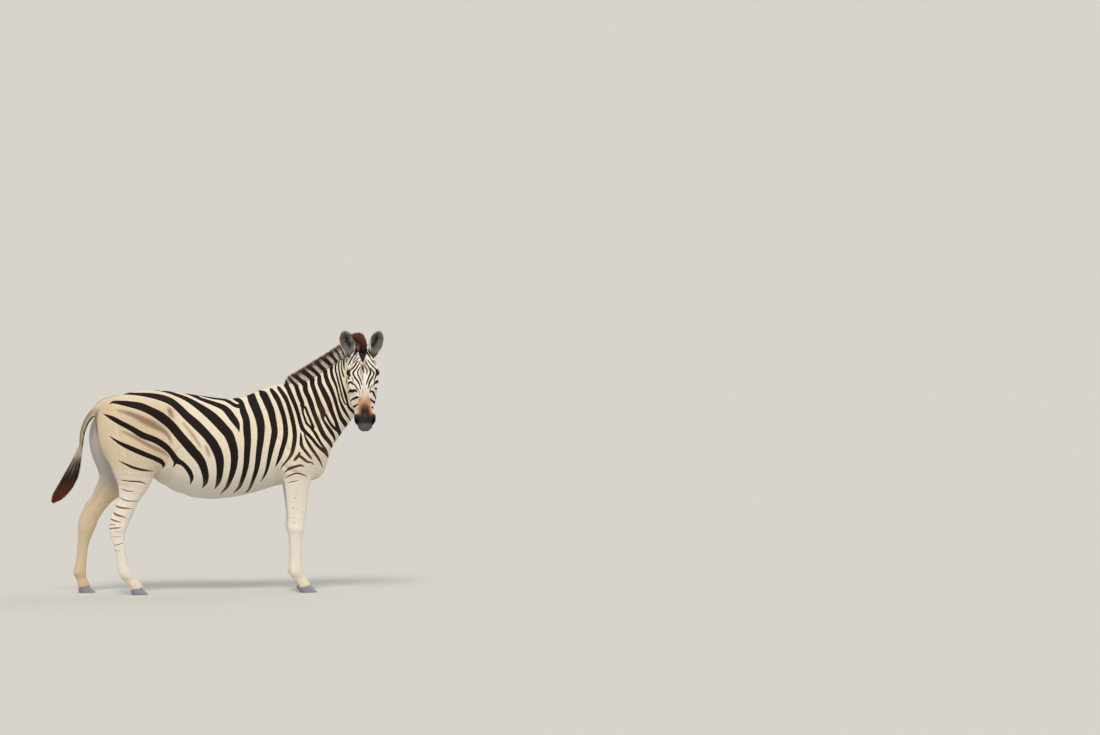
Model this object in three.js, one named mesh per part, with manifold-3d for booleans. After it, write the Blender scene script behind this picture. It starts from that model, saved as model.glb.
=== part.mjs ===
// A plains zebra at life size, standing square with its head turned to its right.
//
// The body faces +X, +Y is its left and +Z is up, in millimetres. The flesh is one smooth form, swept
// along the trunk, neck, head and limbs, and it is parted with thin flat cuts into its named pieces.
// Hooves, ears, eyes, mane, forelock and tail tuft are pieces of their own, set against the flesh.
import * as THREE from "three";
import { mergeVertices } from "three/addons/utils/BufferGeometryUtils.js";
import Module from "manifold-3d";

// ---- driving dimensions ---------------------------------------------------------------------------
const GAP = 0.3; // clearance between two pieces that touch
const HEAD_PITCH = 58; // degrees that the face line falls below the horizontal
const HEAD_YAW = 3.8; // degrees that it turns on past square to the body
const POLL = [873, -200, 1515]; // top of the head between the ears, on the line of the face
const EYE_RADIUS = 21;
const EYE_AT = [81, 151, -38]; // across, down the face, out of the face; from the poll
const EAR_LENGTH = 152;
const EAR_WIDTH = 98;
const EAR_WALL = 5;
const THINNEST = 1.2; // radius of the cup where its wall would close it
const EAR_AT = [62, 2, -50]; // middle of its root, from the poll
const EAR_LEAN = 19; // degrees that an ear leans outward
const EAR_TURN = 22; // degrees that its mouth turns outward from the line of the face
const MANE_WIDTH = 38;
const MANE_ROOT = 50; // how far the mane's root starts inside the crest before it is trimmed
const FORE_Y = 118; // half the track between the forelegs
const HIND_Y = 128; // half the track between the hind legs
const HOOF_LENGTH = { fore: 110, hind: 100 };
const HOOF_WIDTH = { fore: 90, hind: 84 };
const HOOF_HEIGHT = 46; // at the toe
const HOOF_HEEL = 24; // height at the heel
const HOOF_LEAN = 0.78; // how far back its wall goes for each millimetre up
const HOOF_TAPER = 0.16; // how much narrower it is at the coronet than at the sole
const HOOF_TOE = 0.56; // how much of its length is ahead of its middle
const HOOF_AHEAD = 8; // how far it is set ahead of the leg's line

// ---- stations of the sweeps -----------------------------------------------------------------------
// Each station is a point on a spine, its half width across, and how far it reaches in front of the
// spine (or above it) and behind (or below it).

// Trunk: x, height of the widest line, half width, reach up to the back, reach down to the belly.
const TRUNK = [
  [-690, 1090, 66, 105, 90],
  [-620, 1065, 120, 170, 150],
  [-500, 1020, 182, 246, 200],
  [-370, 975, 212, 288, 212],
  [-240, 935, 234, 308, 287],
  [-100, 905, 250, 317, 323],
  [40, 900, 248, 308, 317],
  [170, 915, 228, 302, 304],
  [290, 940, 198, 308, 292],
  [400, 970, 164, 310, 305],
  [500, 985, 136, 250, 270],
  [590, 965, 96, 150, 190],
];

// Neck: spine point, half width, reach to the crest, reach to the throat.
const NECK = [
  [[395, 0, 1010], 150, 262, 300],
  [[540, 4, 1075], 122, 245, 255],
  [[652, 2, 1158], 98, 196, 205],
  [[735, -14, 1232], 86, 176, 178],
  [[800, -44, 1300], 80, 156, 150],
  [[842, -84, 1362], 78, 128, 118],
  [[864, -124, 1412], 74, 92, 92],
];

// Head: distance down the face from the poll, centre below the line of the face, half width,
// reach to the face, reach to the underside.
const SKULL = [
  [-6, -70, 52, 50, 60],
  [60, -70, 74, 66, 74],
  [125, -72, 88, 74, 82],
  [185, -72, 86, 74, 80],
  [260, -68, 68, 66, 66],
  [345, -62, 52, 56, 52],
  [425, -56, 48, 47, 46],
  [480, -54, 54, 44, 46],
  [520, -60, 47, 34, 38],
];
const JAW = [
  [92, -132, 62, 50, 58],
  [160, -150, 84, 64, 64],
  [235, -145, 90, 58, 57],
  [310, -124, 79, 44, 42],
  [400, -112, 51, 34, 32],
  [470, -110, 40, 30, 30],
  [504, -112, 31, 24, 24],
];

// Foreleg: x and y from the elbow line, height, half width, reach forward, reach back.
const FORELEG = [
  [22, 24, 880, 56, 76, 80],
  [10, 20, 790, 58, 94, 96],
  [2, 8, 700, 50, 92, 82],
  [2, 2, 600, 40, 77, 70],
  [0, 0, 500, 33, 66, 56],
  [0, 0, 425, 34, 55, 52],
  [-2, 0, 385, 36, 53, 51],
  [-2, 0, 340, 29, 43, 41],
  [0, 0, 290, 25, 37, 36],
  [0, 0, 200, 24, 35, 35],
  [0, 0, 150, 29, 38, 42],
  [4, 0, 118, 31, 40, 43],
  [28, 0, 84, 27, 32, 32],
  [52, 0, 50, 33, 34, 38],
  [62, 0, 22, 34, 36, 40],
];
const FORELEG_AT = { right: [470, -FORE_Y], left: [486, FORE_Y] };

// Hind leg: height, x on the right leg, which is under the body, and on the left, which trails;
// then outward from the track, half width, reach forward, reach back.
const HINDLEG = [
  [1030, -510, -545, 10, 70, 118, 120],
  [930, -528, -575, 16, 84, 150, 150],
  [840, -532, -590, 14, 80, 150, 146],
  [760, -532, -606, 10, 68, 134, 134],
  [690, -538, -636, 6, 56, 108, 106],
  [620, -556, -690, 2, 44, 78, 76],
  [550, -578, -741, 0, 36, 62, 62],
  [490, -600, -778, -4, 32, 60, 62],
  [440, -622, -797, -6, 33, 58, 62],
  [395, -630, -809, -6, 33, 50, 54],
  [345, -628, -821, -4, 28, 42, 42],
  [290, -618, -830, 0, 25, 35, 35],
  [210, -602, -837, 0, 24, 33, 34],
  [155, -592, -845, 0, 28, 35, 38],
  [118, -576, -845, 0, 31, 38, 42],
  [86, -545, -836, 0, 27, 30, 34],
  [52, -516, -822, 0, 33, 34, 40],
  [22, -500, -812, 0, 34, 36, 40],
];

// Muscle and bone that show through: centre and half sizes, on the left side and mirrored, or as
// they are where twin is false.
const MASSES = [
  { at: [452, 132, 900], half: [140, 84, 150], blend: 70 }, // triceps
  { at: [395, 84, 1130], half: [120, 78, 130], blend: 80 }, // shoulder blade
  { at: [596, 82, 905], half: [92, 92, 108], blend: 70 }, // point of the shoulder
  { at: [576, 58, 792], half: [88, 70, 98], blend: 60 }, // breast
  { at: [-452, 118, 1105], half: [170, 118, 132], blend: 90 }, // croup and hip
  { at: [-632, -98, 990], half: [118, 72, 180], blend: 80, twin: false }, // right hamstrings
  { at: [-672, 102, 965], half: [124, 74, 200], blend: 80, twin: false }, // left hamstrings
  { at: [-462, 148, 905], half: [108, 84, 140], blend: 55 }, // thigh
];

// Tail: spine point, half width, half depth.
const TAIL = [
  [[-640, 0, 1190], 36, 36],
  [[-712, 0, 1170], 32, 34],
  [[-765, 2, 1128], 25, 26],
  [[-812, 4, 1068], 21, 22],
  [[-838, 6, 995], 18, 19],
  [[-846, 8, 915], 15, 16],
  [[-856, 10, 850], 12, 13],
];
const TUFT = [
  [[-853, 8, 905], 22, 22],
  [[-868, 12, 850], 27, 32],
  [[-888, 16, 780], 33, 44],
  [[-915, 22, 710], 34, 48],
  [[-952, 28, 650], 30, 42],
  [[-990, 33, 602], 22, 32],
  [[-1022, 37, 564], 7, 10],
];

// Mane: a point on the crest, the way the hair stands there, and how tall it is.
const MANE = [
  [[432, 0, 1262], [-0.5, 0, 0.87], 30],
  [[480, 2, 1282], [-0.45, 0, 0.89], 78],
  [[560, 4, 1322], [-0.45, 0, 0.89], 86],
  [[650, 2, 1378], [-0.42, 0, 0.9], 84],
  [[735, -6, 1434], [-0.36, 0.08, 0.92], 80],
  [[802, -34, 1484], [-0.28, 0.2, 0.93], 80],
  [[850, -84, 1514], [-0.14, 0.14, 0.97], 92],
  [[870, -140, 1524], [0, 0, 1], 99],
  [[873, -196, 1516], [0.1, -0.4, 0.9], 84],
];

// How far each sweep runs into the flesh beside it.
const BLENDS = { trunk: 60, neck: 70, head: 40, foreleg: 50, hindleg: 44 };

// The boxes that the flesh is meshed in, well past the cuts, and the cells that they are made of.
const BODY_BOX = { low: [-950, -390, 430], high: [860, 390, 1460], cell: [88, 76, 68] };
const NECK_BOX = { low: [250, -290, 640], high: [1060, 270, 1660], cell: [57, 50, 53] };
const HEAD_BOX = { low: [720, -560, 930], high: [1020, -10, 1620], cell: [34, 33, 35] };
// The left limbs' boxes, which go down below the floor.
const LIMB_BOX = {
  fore: { low: [290, -60, -60], high: [720, 310, 940] },
  hind: { low: [-960, -60, -60], high: [-260, 340, 1060] },
};
const THICK_CELL = [31, 28, 46]; // for the upper part of a limb
const SLENDER_CELL = [19, 18, 38]; // for the lower part
const LIMB_LAP = { upper: 120, lower: 80 }; // how far each part is meshed past the joint's cut

// ---- frames ----------------------------------------------------------------------------------------
const V = (x, y, z) => new THREE.Vector3(x, y, z);
const rad = THREE.MathUtils.degToRad;
const UP = V(0, 0, 1);
const AHEAD = V(1, 0, 0);

// The head looks along -Y: across is the animal's left, down runs from poll to lips, out of the face.
const HEAD = new THREE.Matrix4()
  .makeRotationZ(-rad(HEAD_YAW))
  .multiply(
    new THREE.Matrix4().makeBasis(
      V(1, 0, 0),
      V(0, -Math.cos(rad(HEAD_PITCH)), -Math.sin(rad(HEAD_PITCH))),
      V(0, -Math.sin(rad(HEAD_PITCH)), Math.cos(rad(HEAD_PITCH))),
    ),
  )
  .setPosition(...POLL);
const onHead = (across, down, out) => V(across, down, out).applyMatrix4(HEAD);

// ---- the flesh as a distance field ----------------------------------------------------------------
// A smooth value through the stations, as a Catmull-Rom curve.
function between(values, at) {
  const i = Math.min(Math.floor(at), values.length - 2);
  const t = at - i;
  const [a, b] = [values[i], values[i + 1]];
  const before = i > 0 ? values[i - 1] : 2 * a - b;
  const after = i + 2 < values.length ? values[i + 2] : 2 * b - a;
  const [m, n] = [(b - before) / 2, (after - a) / 2];
  return (
    (2 * t ** 3 - 3 * t ** 2 + 1) * a +
    (t ** 3 - 2 * t ** 2 + t) * m +
    (3 * t ** 2 - 2 * t ** 3) * b +
    (t ** 3 - t ** 2) * n
  );
}

// A limb: stations of { at, half, front, back } joined by short elliptical cones. The front of each
// section faces the way of hint, as near as the spine lets it.
function sweep(stations, hint, blend, perSpan = 2) {
  const count = (stations.length - 1) * perSpan + 1;
  const value = (i, pick) => between(stations.map(pick), i / perSpan);
  const rings = Array.from({ length: count }, (_, i) => ({
    at: V(
      value(i, (s) => s.at.x),
      value(i, (s) => s.at.y),
      value(i, (s) => s.at.z),
    ),
    half: value(i, (s) => s.half),
    front: value(i, (s) => s.front),
    back: value(i, (s) => s.back),
  }));
  rings.forEach((ring, i) => {
    const along = rings[Math.min(i + 1, count - 1)].at.clone();
    along.sub(rings[Math.max(i - 1, 0)].at).normalize();
    ring.side = hint.clone().cross(along).normalize();
    ring.face = along.clone().cross(ring.side);
    ring.along = along;
  });
  const cones = rings.slice(1).map((ring, i) => cone(rings[i], ring));
  return { cones, blend };
}

// Two rings and what is between them, with a ball round them both to pass far points over.
function cone(a, b) {
  const axis = b.at.clone().sub(a.at);
  const centre = a.at.clone().addScaledVector(axis, 0.5);
  const widest = Math.max(...[a, b].flatMap((ring) => [ring.half, ring.front, ring.back]));
  return { a, b, axis, length2: axis.lengthSq(), centre, ball: axis.length() / 2 + widest };
}

function coneDistance({ a, b, axis, length2 }, x, y, z) {
  const [px, py, pz] = [x - a.at.x, y - a.at.y, z - a.at.z];
  const t = Math.min(Math.max((px * axis.x + py * axis.y + pz * axis.z) / length2, 0), 1);
  const [qx, qy, qz] = [px - t * axis.x, py - t * axis.y, pz - t * axis.z];
  const along = (m, n) =>
    qx * (m.x + (n.x - m.x) * t) + qy * (m.y + (n.y - m.y) * t) + qz * (m.z + (n.z - m.z) * t);
  const v = along(a.face, b.face);
  const ru = a.half + (b.half - a.half) * t;
  const rv = v > 0 ? a.front + (b.front - a.front) * t : a.back + (b.back - a.back) * t;
  const [u, w] = [along(a.side, b.side), along(a.along, b.along)];
  return ellipsoidDistance(u, v, w, ru, rv, Math.min(ru, rv));
}

function ellipsoidDistance(u, v, w, ru, rv, rw) {
  const near = Math.hypot(u / ru, v / rv, w / rw);
  const slope = Math.hypot(u / ru ** 2, v / rv ** 2, w / rw ** 2);
  return slope < 1e-9 ? -Math.min(ru, rv, rw) : (near * (near - 1)) / slope;
}

function smoothMin(a, b, k) {
  const h = Math.max(k - Math.abs(a - b), 0) / k;
  return Math.min(a, b) - (h * h * k) / 4;
}

const smoothMax = (a, b, k) => -smoothMin(-a, -b, k);

const station = (at, half, front, back) => ({ at, half, front, back });
const trunk = sweep(
  TRUNK.map(([x, z, half, up, down]) => station(V(x, 0, z), half, up, down)),
  UP,
  BLENDS.trunk,
);
const neck = sweep(
  NECK.map(([at, half, crest, throat]) => station(V(...at), half, crest, throat)),
  UP,
  BLENDS.neck,
);
const onFace = ([down, centre, half, face, under]) =>
  station(onHead(0, down, centre), half, face, under);
const outOfFace = onHead(0, 0, 1).sub(onHead(0, 0, 0));
const skull = sweep(SKULL.map(onFace), outOfFace, BLENDS.head);
const jaw = sweep(JAW.map(onFace), outOfFace, BLENDS.head);

const foreleg = (side) => {
  const [x0, y0] = FORELEG_AT[side];
  const out = Math.sign(y0);
  return sweep(
    FORELEG.map(([x, y, z, half, front, back]) =>
      station(V(x0 + x, y0 + out * y, z), half, front, back),
    ),
    AHEAD,
    BLENDS.foreleg,
  );
};
const hindleg = (side) => {
  const out = side === "left" ? 1 : -1;
  return sweep(
    HINDLEG.map(([z, right, left, spread, half, front, back]) =>
      station(V(side === "left" ? left : right, out * (HIND_Y + spread), z), half, front, back),
    ),
    AHEAD,
    BLENDS.hindleg,
  );
};
const limbs = [foreleg("right"), foreleg("left"), hindleg("right"), hindleg("left")];

const mirrored = (axis) => (lump) =>
  (lump.twin === false ? [1] : [1, -1]).map((sign) => {
    const at = V(...lump.at);
    return { ...lump, at: at.setComponent(axis, sign * at.getComponent(axis)) };
  });
const masses = MASSES.flatMap(mirrored(1));

// Ridges and hollows of the head: [across, down, out], half sizes in the head's frame, blend, and
// whether it is raised or hollowed. All are mirrored.
const HEAD_FORMS = [
  { at: [76, 146, -30], half: [24, 34, 22], blend: 22, raised: true }, // brow over the eye
  { at: [72, 205, -62], half: [22, 60, 26], blend: 30, raised: true }, // cheek bone
  { at: [46, 470, -44], half: [22, 34, 26], blend: 22, raised: true }, // wing of the nostril
  { at: [54, 496, -46], half: [13, 17, 11], blend: 9, raised: false }, // nostril
  { at: [58, 92, -12], half: [24, 30, 22], blend: 26, raised: true }, // root of the ear
];
const toHead = HEAD.clone().invert();
const headForms = HEAD_FORMS.flatMap(mirrored(0));

// How far a point is outside a sweep; sweeps further off than reach need not be exact.
function sweepDistance({ cones }, x, y, z, reach) {
  let least = Infinity;
  for (const one of cones) {
    const far = Math.hypot(x - one.centre.x, y - one.centre.y, z - one.centre.z) - one.ball;
    if (far < Math.min(least, reach)) least = Math.min(least, coneDistance(one, x, y, z));
  }
  return least;
}

// The surface of some sweeps and masses run together, as a signed distance that is near enough true
// close to it. The forms are the head's ridges and hollows.
function surface(sweeps, lumps, forms = []) {
  return (x, y, z) => {
    let d = 1000;
    for (const part of sweeps) {
      const near = sweepDistance(part, x, y, z, d + part.blend);
      d = smoothMin(d, near, part.blend);
    }
    for (const { at, half, blend } of lumps) {
      const far = Math.hypot(x - at.x, y - at.y, z - at.z) - Math.max(...half);
      if (far > d + blend) continue;
      d = smoothMin(d, ellipsoidDistance(x - at.x, y - at.y, z - at.z, ...half), blend);
    }
    if (!forms.length) return d;
    const h = V(x, y, z).applyMatrix4(toHead);
    for (const { at, half, blend, raised } of forms) {
      const form = ellipsoidDistance(h.x - at.x, h.y - at.y, h.z - at.z, ...half);
      d = raised ? smoothMin(d, form, blend) : smoothMax(d, -form, blend);
    }
    return d;
  };
}
const bodySurface = surface([trunk, neck, ...limbs], masses);
const limbSurface = surface([trunk, ...limbs], masses);
const headSurface = surface([trunk, neck, skull, jaw], masses, headForms);

// ---- from the field to closed meshes ---------------------------------------------------------------
// Surface nets on a box of cells: one vertex in each cell that the surface crosses, moved on to it,
// and two triangles across each grid edge that it crosses. Where two sheets of the surface share a
// cell, the box is nudged until they part.
const NUDGE = 0.13;
function fleshMesh(flesh, box, nudge = 0) {
  const { low, high, cell } = box;
  const n = low.map((l, i) => Math.ceil((high[i] - l) / cell[i]) + 1);
  const steps = [1, n[0], n[0] * n[1]];
  const at = (i, j, k) => i + j * steps[1] + k * steps[2];
  const place = (i, j, k) => [i, j, k].map((c, axis) => low[axis] + (c + nudge) * cell[axis]);
  const field = new Float32Array(n[0] * n[1] * n[2]);
  const edge = (i, j, k) => [i, j, k].some((c, a) => c === 0 || c === n[a] - 1);
  for (let k = 0; k < n[2]; k++)
    for (let j = 0; j < n[1]; j++)
      for (let i = 0; i < n[0]; i++)
        field[at(i, j, k)] = edge(i, j, k) ? cell[0] : flesh(...place(i, j, k));

  const inside = (c) => field[c] < 0;
  const shared = field.some((_, c) =>
    steps.some((s, axis) => {
      const t = steps[(axis + 1) % 3];
      const crossed = inside(c) === inside(c + s + t) && inside(c + s) === inside(c + t);
      return c + s + t < field.length && crossed && inside(c) !== inside(c + s);
    }),
  );
  if (shared && nudge < 1) return fleshMesh(flesh, box, nudge + NUDGE);

  const corners = [0, 1, 2, 3, 4, 5, 6, 7].map((c) => [c & 1, (c >> 1) & 1, c >> 2]);
  const cubeEdges = corners.flatMap((a, i) =>
    corners.slice(i + 1).flatMap((b) => {
      const apart = a.reduce((sum, v, axis) => sum + Math.abs(v - b[axis]), 0);
      return apart === 1 ? [[a, b]] : [];
    }),
  );
  const vertexOf = new Map();
  const points = [];
  for (let k = 0; k < n[2] - 1; k++)
    for (let j = 0; j < n[1] - 1; j++)
      for (let i = 0; i < n[0] - 1; i++) {
        const sum = V(0, 0, 0);
        let crossings = 0;
        for (const [a, b] of cubeEdges) {
          const fa = field[at(i + a[0], j + a[1], k + a[2])];
          const fb = field[at(i + b[0], j + b[1], k + b[2])];
          if ((fa < 0) === (fb < 0)) continue;
          const pa = V(...place(i + a[0], j + a[1], k + a[2]));
          sum.add(pa.lerp(V(...place(i + b[0], j + b[1], k + b[2])), fa / (fa - fb)));
          crossings++;
        }
        if (!crossings) continue;
        vertexOf.set(at(i, j, k), points.length);
        sum.divideScalar(crossings);
        const free = [i, j, k].every((c, a) => c > 0 && c < n[a] - 2);
        points.push(free ? settle(sum, flesh, cell) : sum);
      }

  const triangles = [];
  for (let k = 0; k < n[2] - 1; k++)
    for (let j = 0; j < n[1] - 1; j++)
      for (let i = 0; i < n[0] - 1; i++)
        for (let axis = 0; axis < 3; axis++) {
          const here = at(i, j, k);
          const [fa, fb] = [field[here], field[here + steps[axis]]];
          if ((fa < 0) === (fb < 0)) continue;
          const [s, t] = [steps[(axis + 1) % 3], steps[(axis + 2) % 3]];
          const ring = [here - s - t, here - t, here, here - s].map((c) => vertexOf.get(c));
          if (fb < 0) ring.reverse();
          const [a, b, c, d] = ring;
          const split = points[a].distanceTo(points[c]) < points[b].distanceTo(points[d]);
          triangles.push(...(split ? [a, b, c, a, c, d] : [b, c, d, b, d, a]));
        }
  return geometry(points, triangles);
}

// Moves a point on to the surface, by no more than half a cell a step.
function settle(p, flesh, cell) {
  const e = 0.5;
  const most = Math.min(...cell) / 2;
  for (let step = 0; step < 3; step++) {
    const slope = V(
      flesh(p.x + e, p.y, p.z) - flesh(p.x - e, p.y, p.z),
      flesh(p.x, p.y + e, p.z) - flesh(p.x, p.y - e, p.z),
      flesh(p.x, p.y, p.z + e) - flesh(p.x, p.y, p.z - e),
    ).divideScalar(2 * e);
    const off = -flesh(p.x, p.y, p.z) / Math.max(slope.lengthSq(), 0.05);
    p.add(slope.multiplyScalar(off).clampLength(0, most));
  }
  return p;
}

function geometry(points, triangles) {
  const made = new THREE.BufferGeometry();
  made.setAttribute("position", new THREE.Float32BufferAttribute(points.flatMap((p) => p.toArray()), 3));
  return made.setIndex(triangles);
}

// ---- cuts and joins --------------------------------------------------------------------------------
const wasm = await Module();
wasm.setup();

function solid(made) {
  const bare = made.clone();
  bare.deleteAttribute("normal");
  bare.deleteAttribute("uv");
  const merged = mergeVertices(bare, 1e-3);
  const vertProperties = merged.attributes.position.array;
  const triVerts = new Uint32Array(merged.index.array);
  return new wasm.Manifold(new wasm.Mesh({ numProp: 3, vertProperties, triVerts }));
}

function mesh(name, made, material) {
  const { numProp, vertProperties, triVerts } = made.getMesh();
  const points = [];
  for (let i = 0; i < vertProperties.length; i += numProp) {
    points.push(V(...vertProperties.subarray(i, i + 3)));
  }
  const shown = new THREE.Mesh(geometry(points, Array.from(triVerts)), material);
  shown.geometry.computeVertexNormals();
  shown.name = name;
  return shown;
}

// Everything on the far side of a plane from its normal, as a large block. Planes are
// { at, normal }, and grow moves the block's face along the normal.
function block({ at, normal }, grow) {
  const size = 5000;
  const made = new THREE.BoxGeometry(size, size, size).translate(0, 0, -size / 2 + grow);
  const turn = new THREE.Quaternion().setFromUnitVectors(UP, V(...normal).normalize());
  return solid(made.applyQuaternion(turn).translate(...at));
}
const region = (planes, grow) =>
  planes.map((plane) => block(plane, grow)).reduce((a, b) => a.intersect(b));

const opposite = ({ at, normal }) => ({ at, normal: normal.map((c) => -c) });
const flipped = ({ at: [x, y, z], normal: [a, b, c] }) => ({ at: [x, -y, z], normal: [a, -b, c] });

// The cuts, each with its normal pointing out of the piece named.
const NECK_BASE = { at: [520, 0, 1080], normal: [-0.86, 0, -0.5] }; // out of the neck, to the trunk
const HEAD_BACK = { at: [850, -138, 1395], normal: [-0.2, 0.86, -0.46] }; // out of the head
const TUFT_ROOT = { at: [-848, 8, 890], normal: [-0.1, 0, -1] }; // out of the dock, to the tuft
const FORE_TOP = { at: [470, 100, 706], normal: [0, -0.62, 0.78] }; // out of a left foreleg
const FORE_BEHIND = { at: [384, 0, 700], normal: [-1, 0, 0] };
const FORE_KNEE = { at: [470, 0, 402], normal: [0, 0, 1] }; // out of the shank
const HIND_TOP = { at: [-360, 100, 704], normal: [0.34, -0.5, 0.8] }; // out of a left hind leg
const HIND_AHEAD = { at: [-352, 0, 700], normal: [1, 0, 0] };
const HOCK = {
  right: { at: [-618, 0, 440], normal: [0.1, 0, 1] },
  left: { at: [-800, 0, 470], normal: [0.1, 0, 1] },
};
const MIDDLE = { at: [0, 12, 0], normal: [0, -1, 0] }; // out of a left limb, to the middle

// The coronet slopes from the toe's height to the heel's.
const coronet = (x) => {
  const slope = (HOOF_HEIGHT - HOOF_HEEL) / (HOOF_LENGTH.fore * 0.8);
  return { at: [x, 0, (HOOF_HEIGHT + HOOF_HEEL) / 2], normal: [slope, 0, -1] };
};

// ---- materials -------------------------------------------------------------------------------------
const finish = (color, roughness) => new THREE.MeshStandardMaterial({ color, roughness, metalness: 0 });
const coat = finish(0xe9dcc4, 0.85);
const darkHair = finish(0x2c1b18, 0.9);
const brownHair = finish(0x5a3022, 0.9);
const horn = finish(0x77747c, 0.6);
const eyeball = finish(0x140d0a, 0.15);
const earHair = finish(0x8d8a88, 0.9);

// ---- flesh pieces ----------------------------------------------------------------------------------
const zebra = new THREE.Group();
zebra.name = "zebra";
const SIDES = { left: 1, right: -1 };

// Trims the foot of a piece that stands on others, which it leaves by a little over the gap.
function standingOn(piece, other, up = UP) {
  return piece.subtract(other.translate(up.clone().multiplyScalar(GAP * 1.6).toArray()));
}

// A loft through rings of points, all with as many, closed at both ends by fans.
function loft(rings) {
  const count = rings[0].length;
  const points = rings.flat();
  const triangles = [];
  for (let r = 0; r + 1 < rings.length; r++)
    for (let c = 0; c < count; c++) {
      const [a, b] = [r * count + c, r * count + ((c + 1) % count)];
      triangles.push(a, b, b + count, a, b + count, a + count);
    }
  for (const [ring, base] of [
    [rings[0], 0],
    [rings.at(-1), (rings.length - 1) * count],
  ]) {
    const middle = ring.reduce((sum, p) => sum.add(p), V(0, 0, 0)).divideScalar(count);
    const hub = points.push(middle) - 1;
    for (let c = 0; c < count; c++) {
      const [a, b] = [base + c, base + ((c + 1) % count)];
      triangles.push(...(base ? [a, b, hub] : [b, a, hub]));
    }
  }
  return solid(geometry(points, triangles));
}

// Hooves: a wall that leans back as it rises, rounder at the toe than at the heel, on a flat sole.
function hoof(end, x, y) {
  const sides = 18;
  const ring = (z) =>
    Array.from({ length: sides }, (_, i) => {
      const turn = (i / sides) * 2 * Math.PI;
      const shrink = 1 - (HOOF_TAPER * z) / HOOF_HEIGHT;
      const ahead = Math.cos(turn) > 0;
      const share = ahead ? HOOF_TOE : 1 - HOOF_TOE;
      const along = Math.sign(Math.cos(turn)) * Math.abs(Math.cos(turn)) ** (ahead ? 1 : 0.8);
      return V(
        x + along * HOOF_LENGTH[end] * share * shrink - z * HOOF_LEAN + HOOF_AHEAD,
        y + (Math.sin(turn) * HOOF_WIDTH[end] * shrink) / 2,
        z,
      );
    });
  const heights = [0, 12, HOOF_HEIGHT + 14]; // the top ring is cut off at the coronet
  return loft(heights.map(ring)).intersect(block(opposite(coronet(x)), -GAP / 2));
}

const HOOF_X = {
  fore: { right: FORELEG_AT.right[0] + 66, left: FORELEG_AT.left[0] + 66 },
  hind: { right: -506, left: -812 },
};
const NAMES = { fore: ["forearm", "fore_shank"], hind: ["gaskin", "hind_shank"] };
const regions = [];
for (const [side, out] of Object.entries(SIDES)) {
  const sided = (planes) => (out > 0 ? planes : planes.map(flipped));
  for (const [end, joint, track, planes] of [
    ["fore", FORE_KNEE, FORE_Y, [FORE_TOP, FORE_BEHIND, MIDDLE]],
    ["hind", HOCK[side], HIND_Y, [HIND_TOP, HIND_AHEAD, MIDDLE]],
  ]) {
    const { low, high } = LIMB_BOX[end];
    const [yLow, yHigh] = out > 0 ? [low[1], high[1]] : [-high[1], -low[1]];
    const part = (cell, bottom, top, cuts) => {
      const box = { low: [low[0], yLow, bottom], high: [high[0], yHigh, top], cell };
      return solid(fleshMesh(limbSurface, box)).intersect(region(cuts, -GAP / 2));
    };
    const x = HOOF_X[end][side];
    const knee = joint.at[2];
    const upper = part(THICK_CELL, knee - LIMB_LAP.upper, high[2], [...sided(planes), opposite(joint)]);
    const lower = part(SLENDER_CELL, low[2], knee + LIMB_LAP.lower, [joint, coronet(x)]);
    zebra.add(mesh(`${NAMES[end][0]}_${side}`, upper, coat));
    zebra.add(mesh(`${NAMES[end][1]}_${side}`, lower, coat));
    zebra.add(mesh(`hoof_${end}_${side}`, hoof(end, x, out * track), horn));
    regions.push(region(sided(planes), GAP / 2));
  }
}

const whole = solid(fleshMesh(bodySurface, BODY_BOX));
const cuts = [...regions, block(NECK_BASE, GAP / 2)];
const trunkSolid = cuts.reduce((left, cut) => left.subtract(cut), whole);
zebra.add(mesh("trunk", trunkSolid, coat));

const neckWhole = solid(fleshMesh(headSurface, NECK_BOX));
const onNeck = (shape) => shape.intersect(block(NECK_BASE, -GAP / 2)).subtract(block(HEAD_BACK, GAP / 2));
zebra.add(mesh("neck", onNeck(neckWhole), coat));

const eyes = Object.entries(SIDES).map(([side, out]) => {
  const [across, down, face] = EYE_AT;
  const at = onHead(out * across, down, face);
  const ball = (radius) => new THREE.SphereGeometry(radius, 12, 8).translate(...at);
  zebra.add(mesh(`eye_${side}`, solid(ball(EYE_RADIUS)), eyeball));
  return solid(ball(EYE_RADIUS + GAP));
});
const headWhole = solid(fleshMesh(headSurface, HEAD_BOX));
const ofHead = (shape) => shape.intersect(block(HEAD_BACK, -GAP / 2));
const head = eyes.reduce((left, socket) => left.subtract(socket), ofHead(headWhole));
zebra.add(mesh("head", head, coat));

// ---- tail --------------------------------------------------------------------------------------------
// Rings round a spine of { at, half, depth }: the side of each lies along hint, as near as it can.
function spineRings(stations, hint, sides, perSpan) {
  const count = (stations.length - 1) * perSpan + 1;
  const value = (i, pick) => between(stations.map(pick), i / perSpan);
  const centre = (i) => V(...[0, 1, 2].map((axis) => value(i, ([at]) => at[axis])));
  return Array.from({ length: count }, (_, i) => {
    const along = centre(Math.min(i + 1, count - 1)).sub(centre(Math.max(i - 1, 0)));
    const depth = along.clone().cross(hint).normalize();
    const side = depth.clone().cross(along).normalize();
    return Array.from({ length: sides }, (_, c) => {
      const turn = (c / sides) * 2 * Math.PI;
      return centre(i)
        .addScaledVector(side, Math.cos(turn) * value(i, (s) => s[1]))
        .addScaledVector(depth, Math.sin(turn) * value(i, (s) => s[2]));
    });
  });
}
const tail = loft(spineRings(TAIL, V(0, 1, 0), 10, 2)).intersect(block(TUFT_ROOT, -GAP / 2));
zebra.add(mesh("tail_dock", standingOn(tail, trunkSolid, V(-1, 0, 0.2)), coat));
const tuft = loft(spineRings(TUFT, V(0, 1, 0), 10, 2)).intersect(block(opposite(TUFT_ROOT), -GAP / 2));
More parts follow.
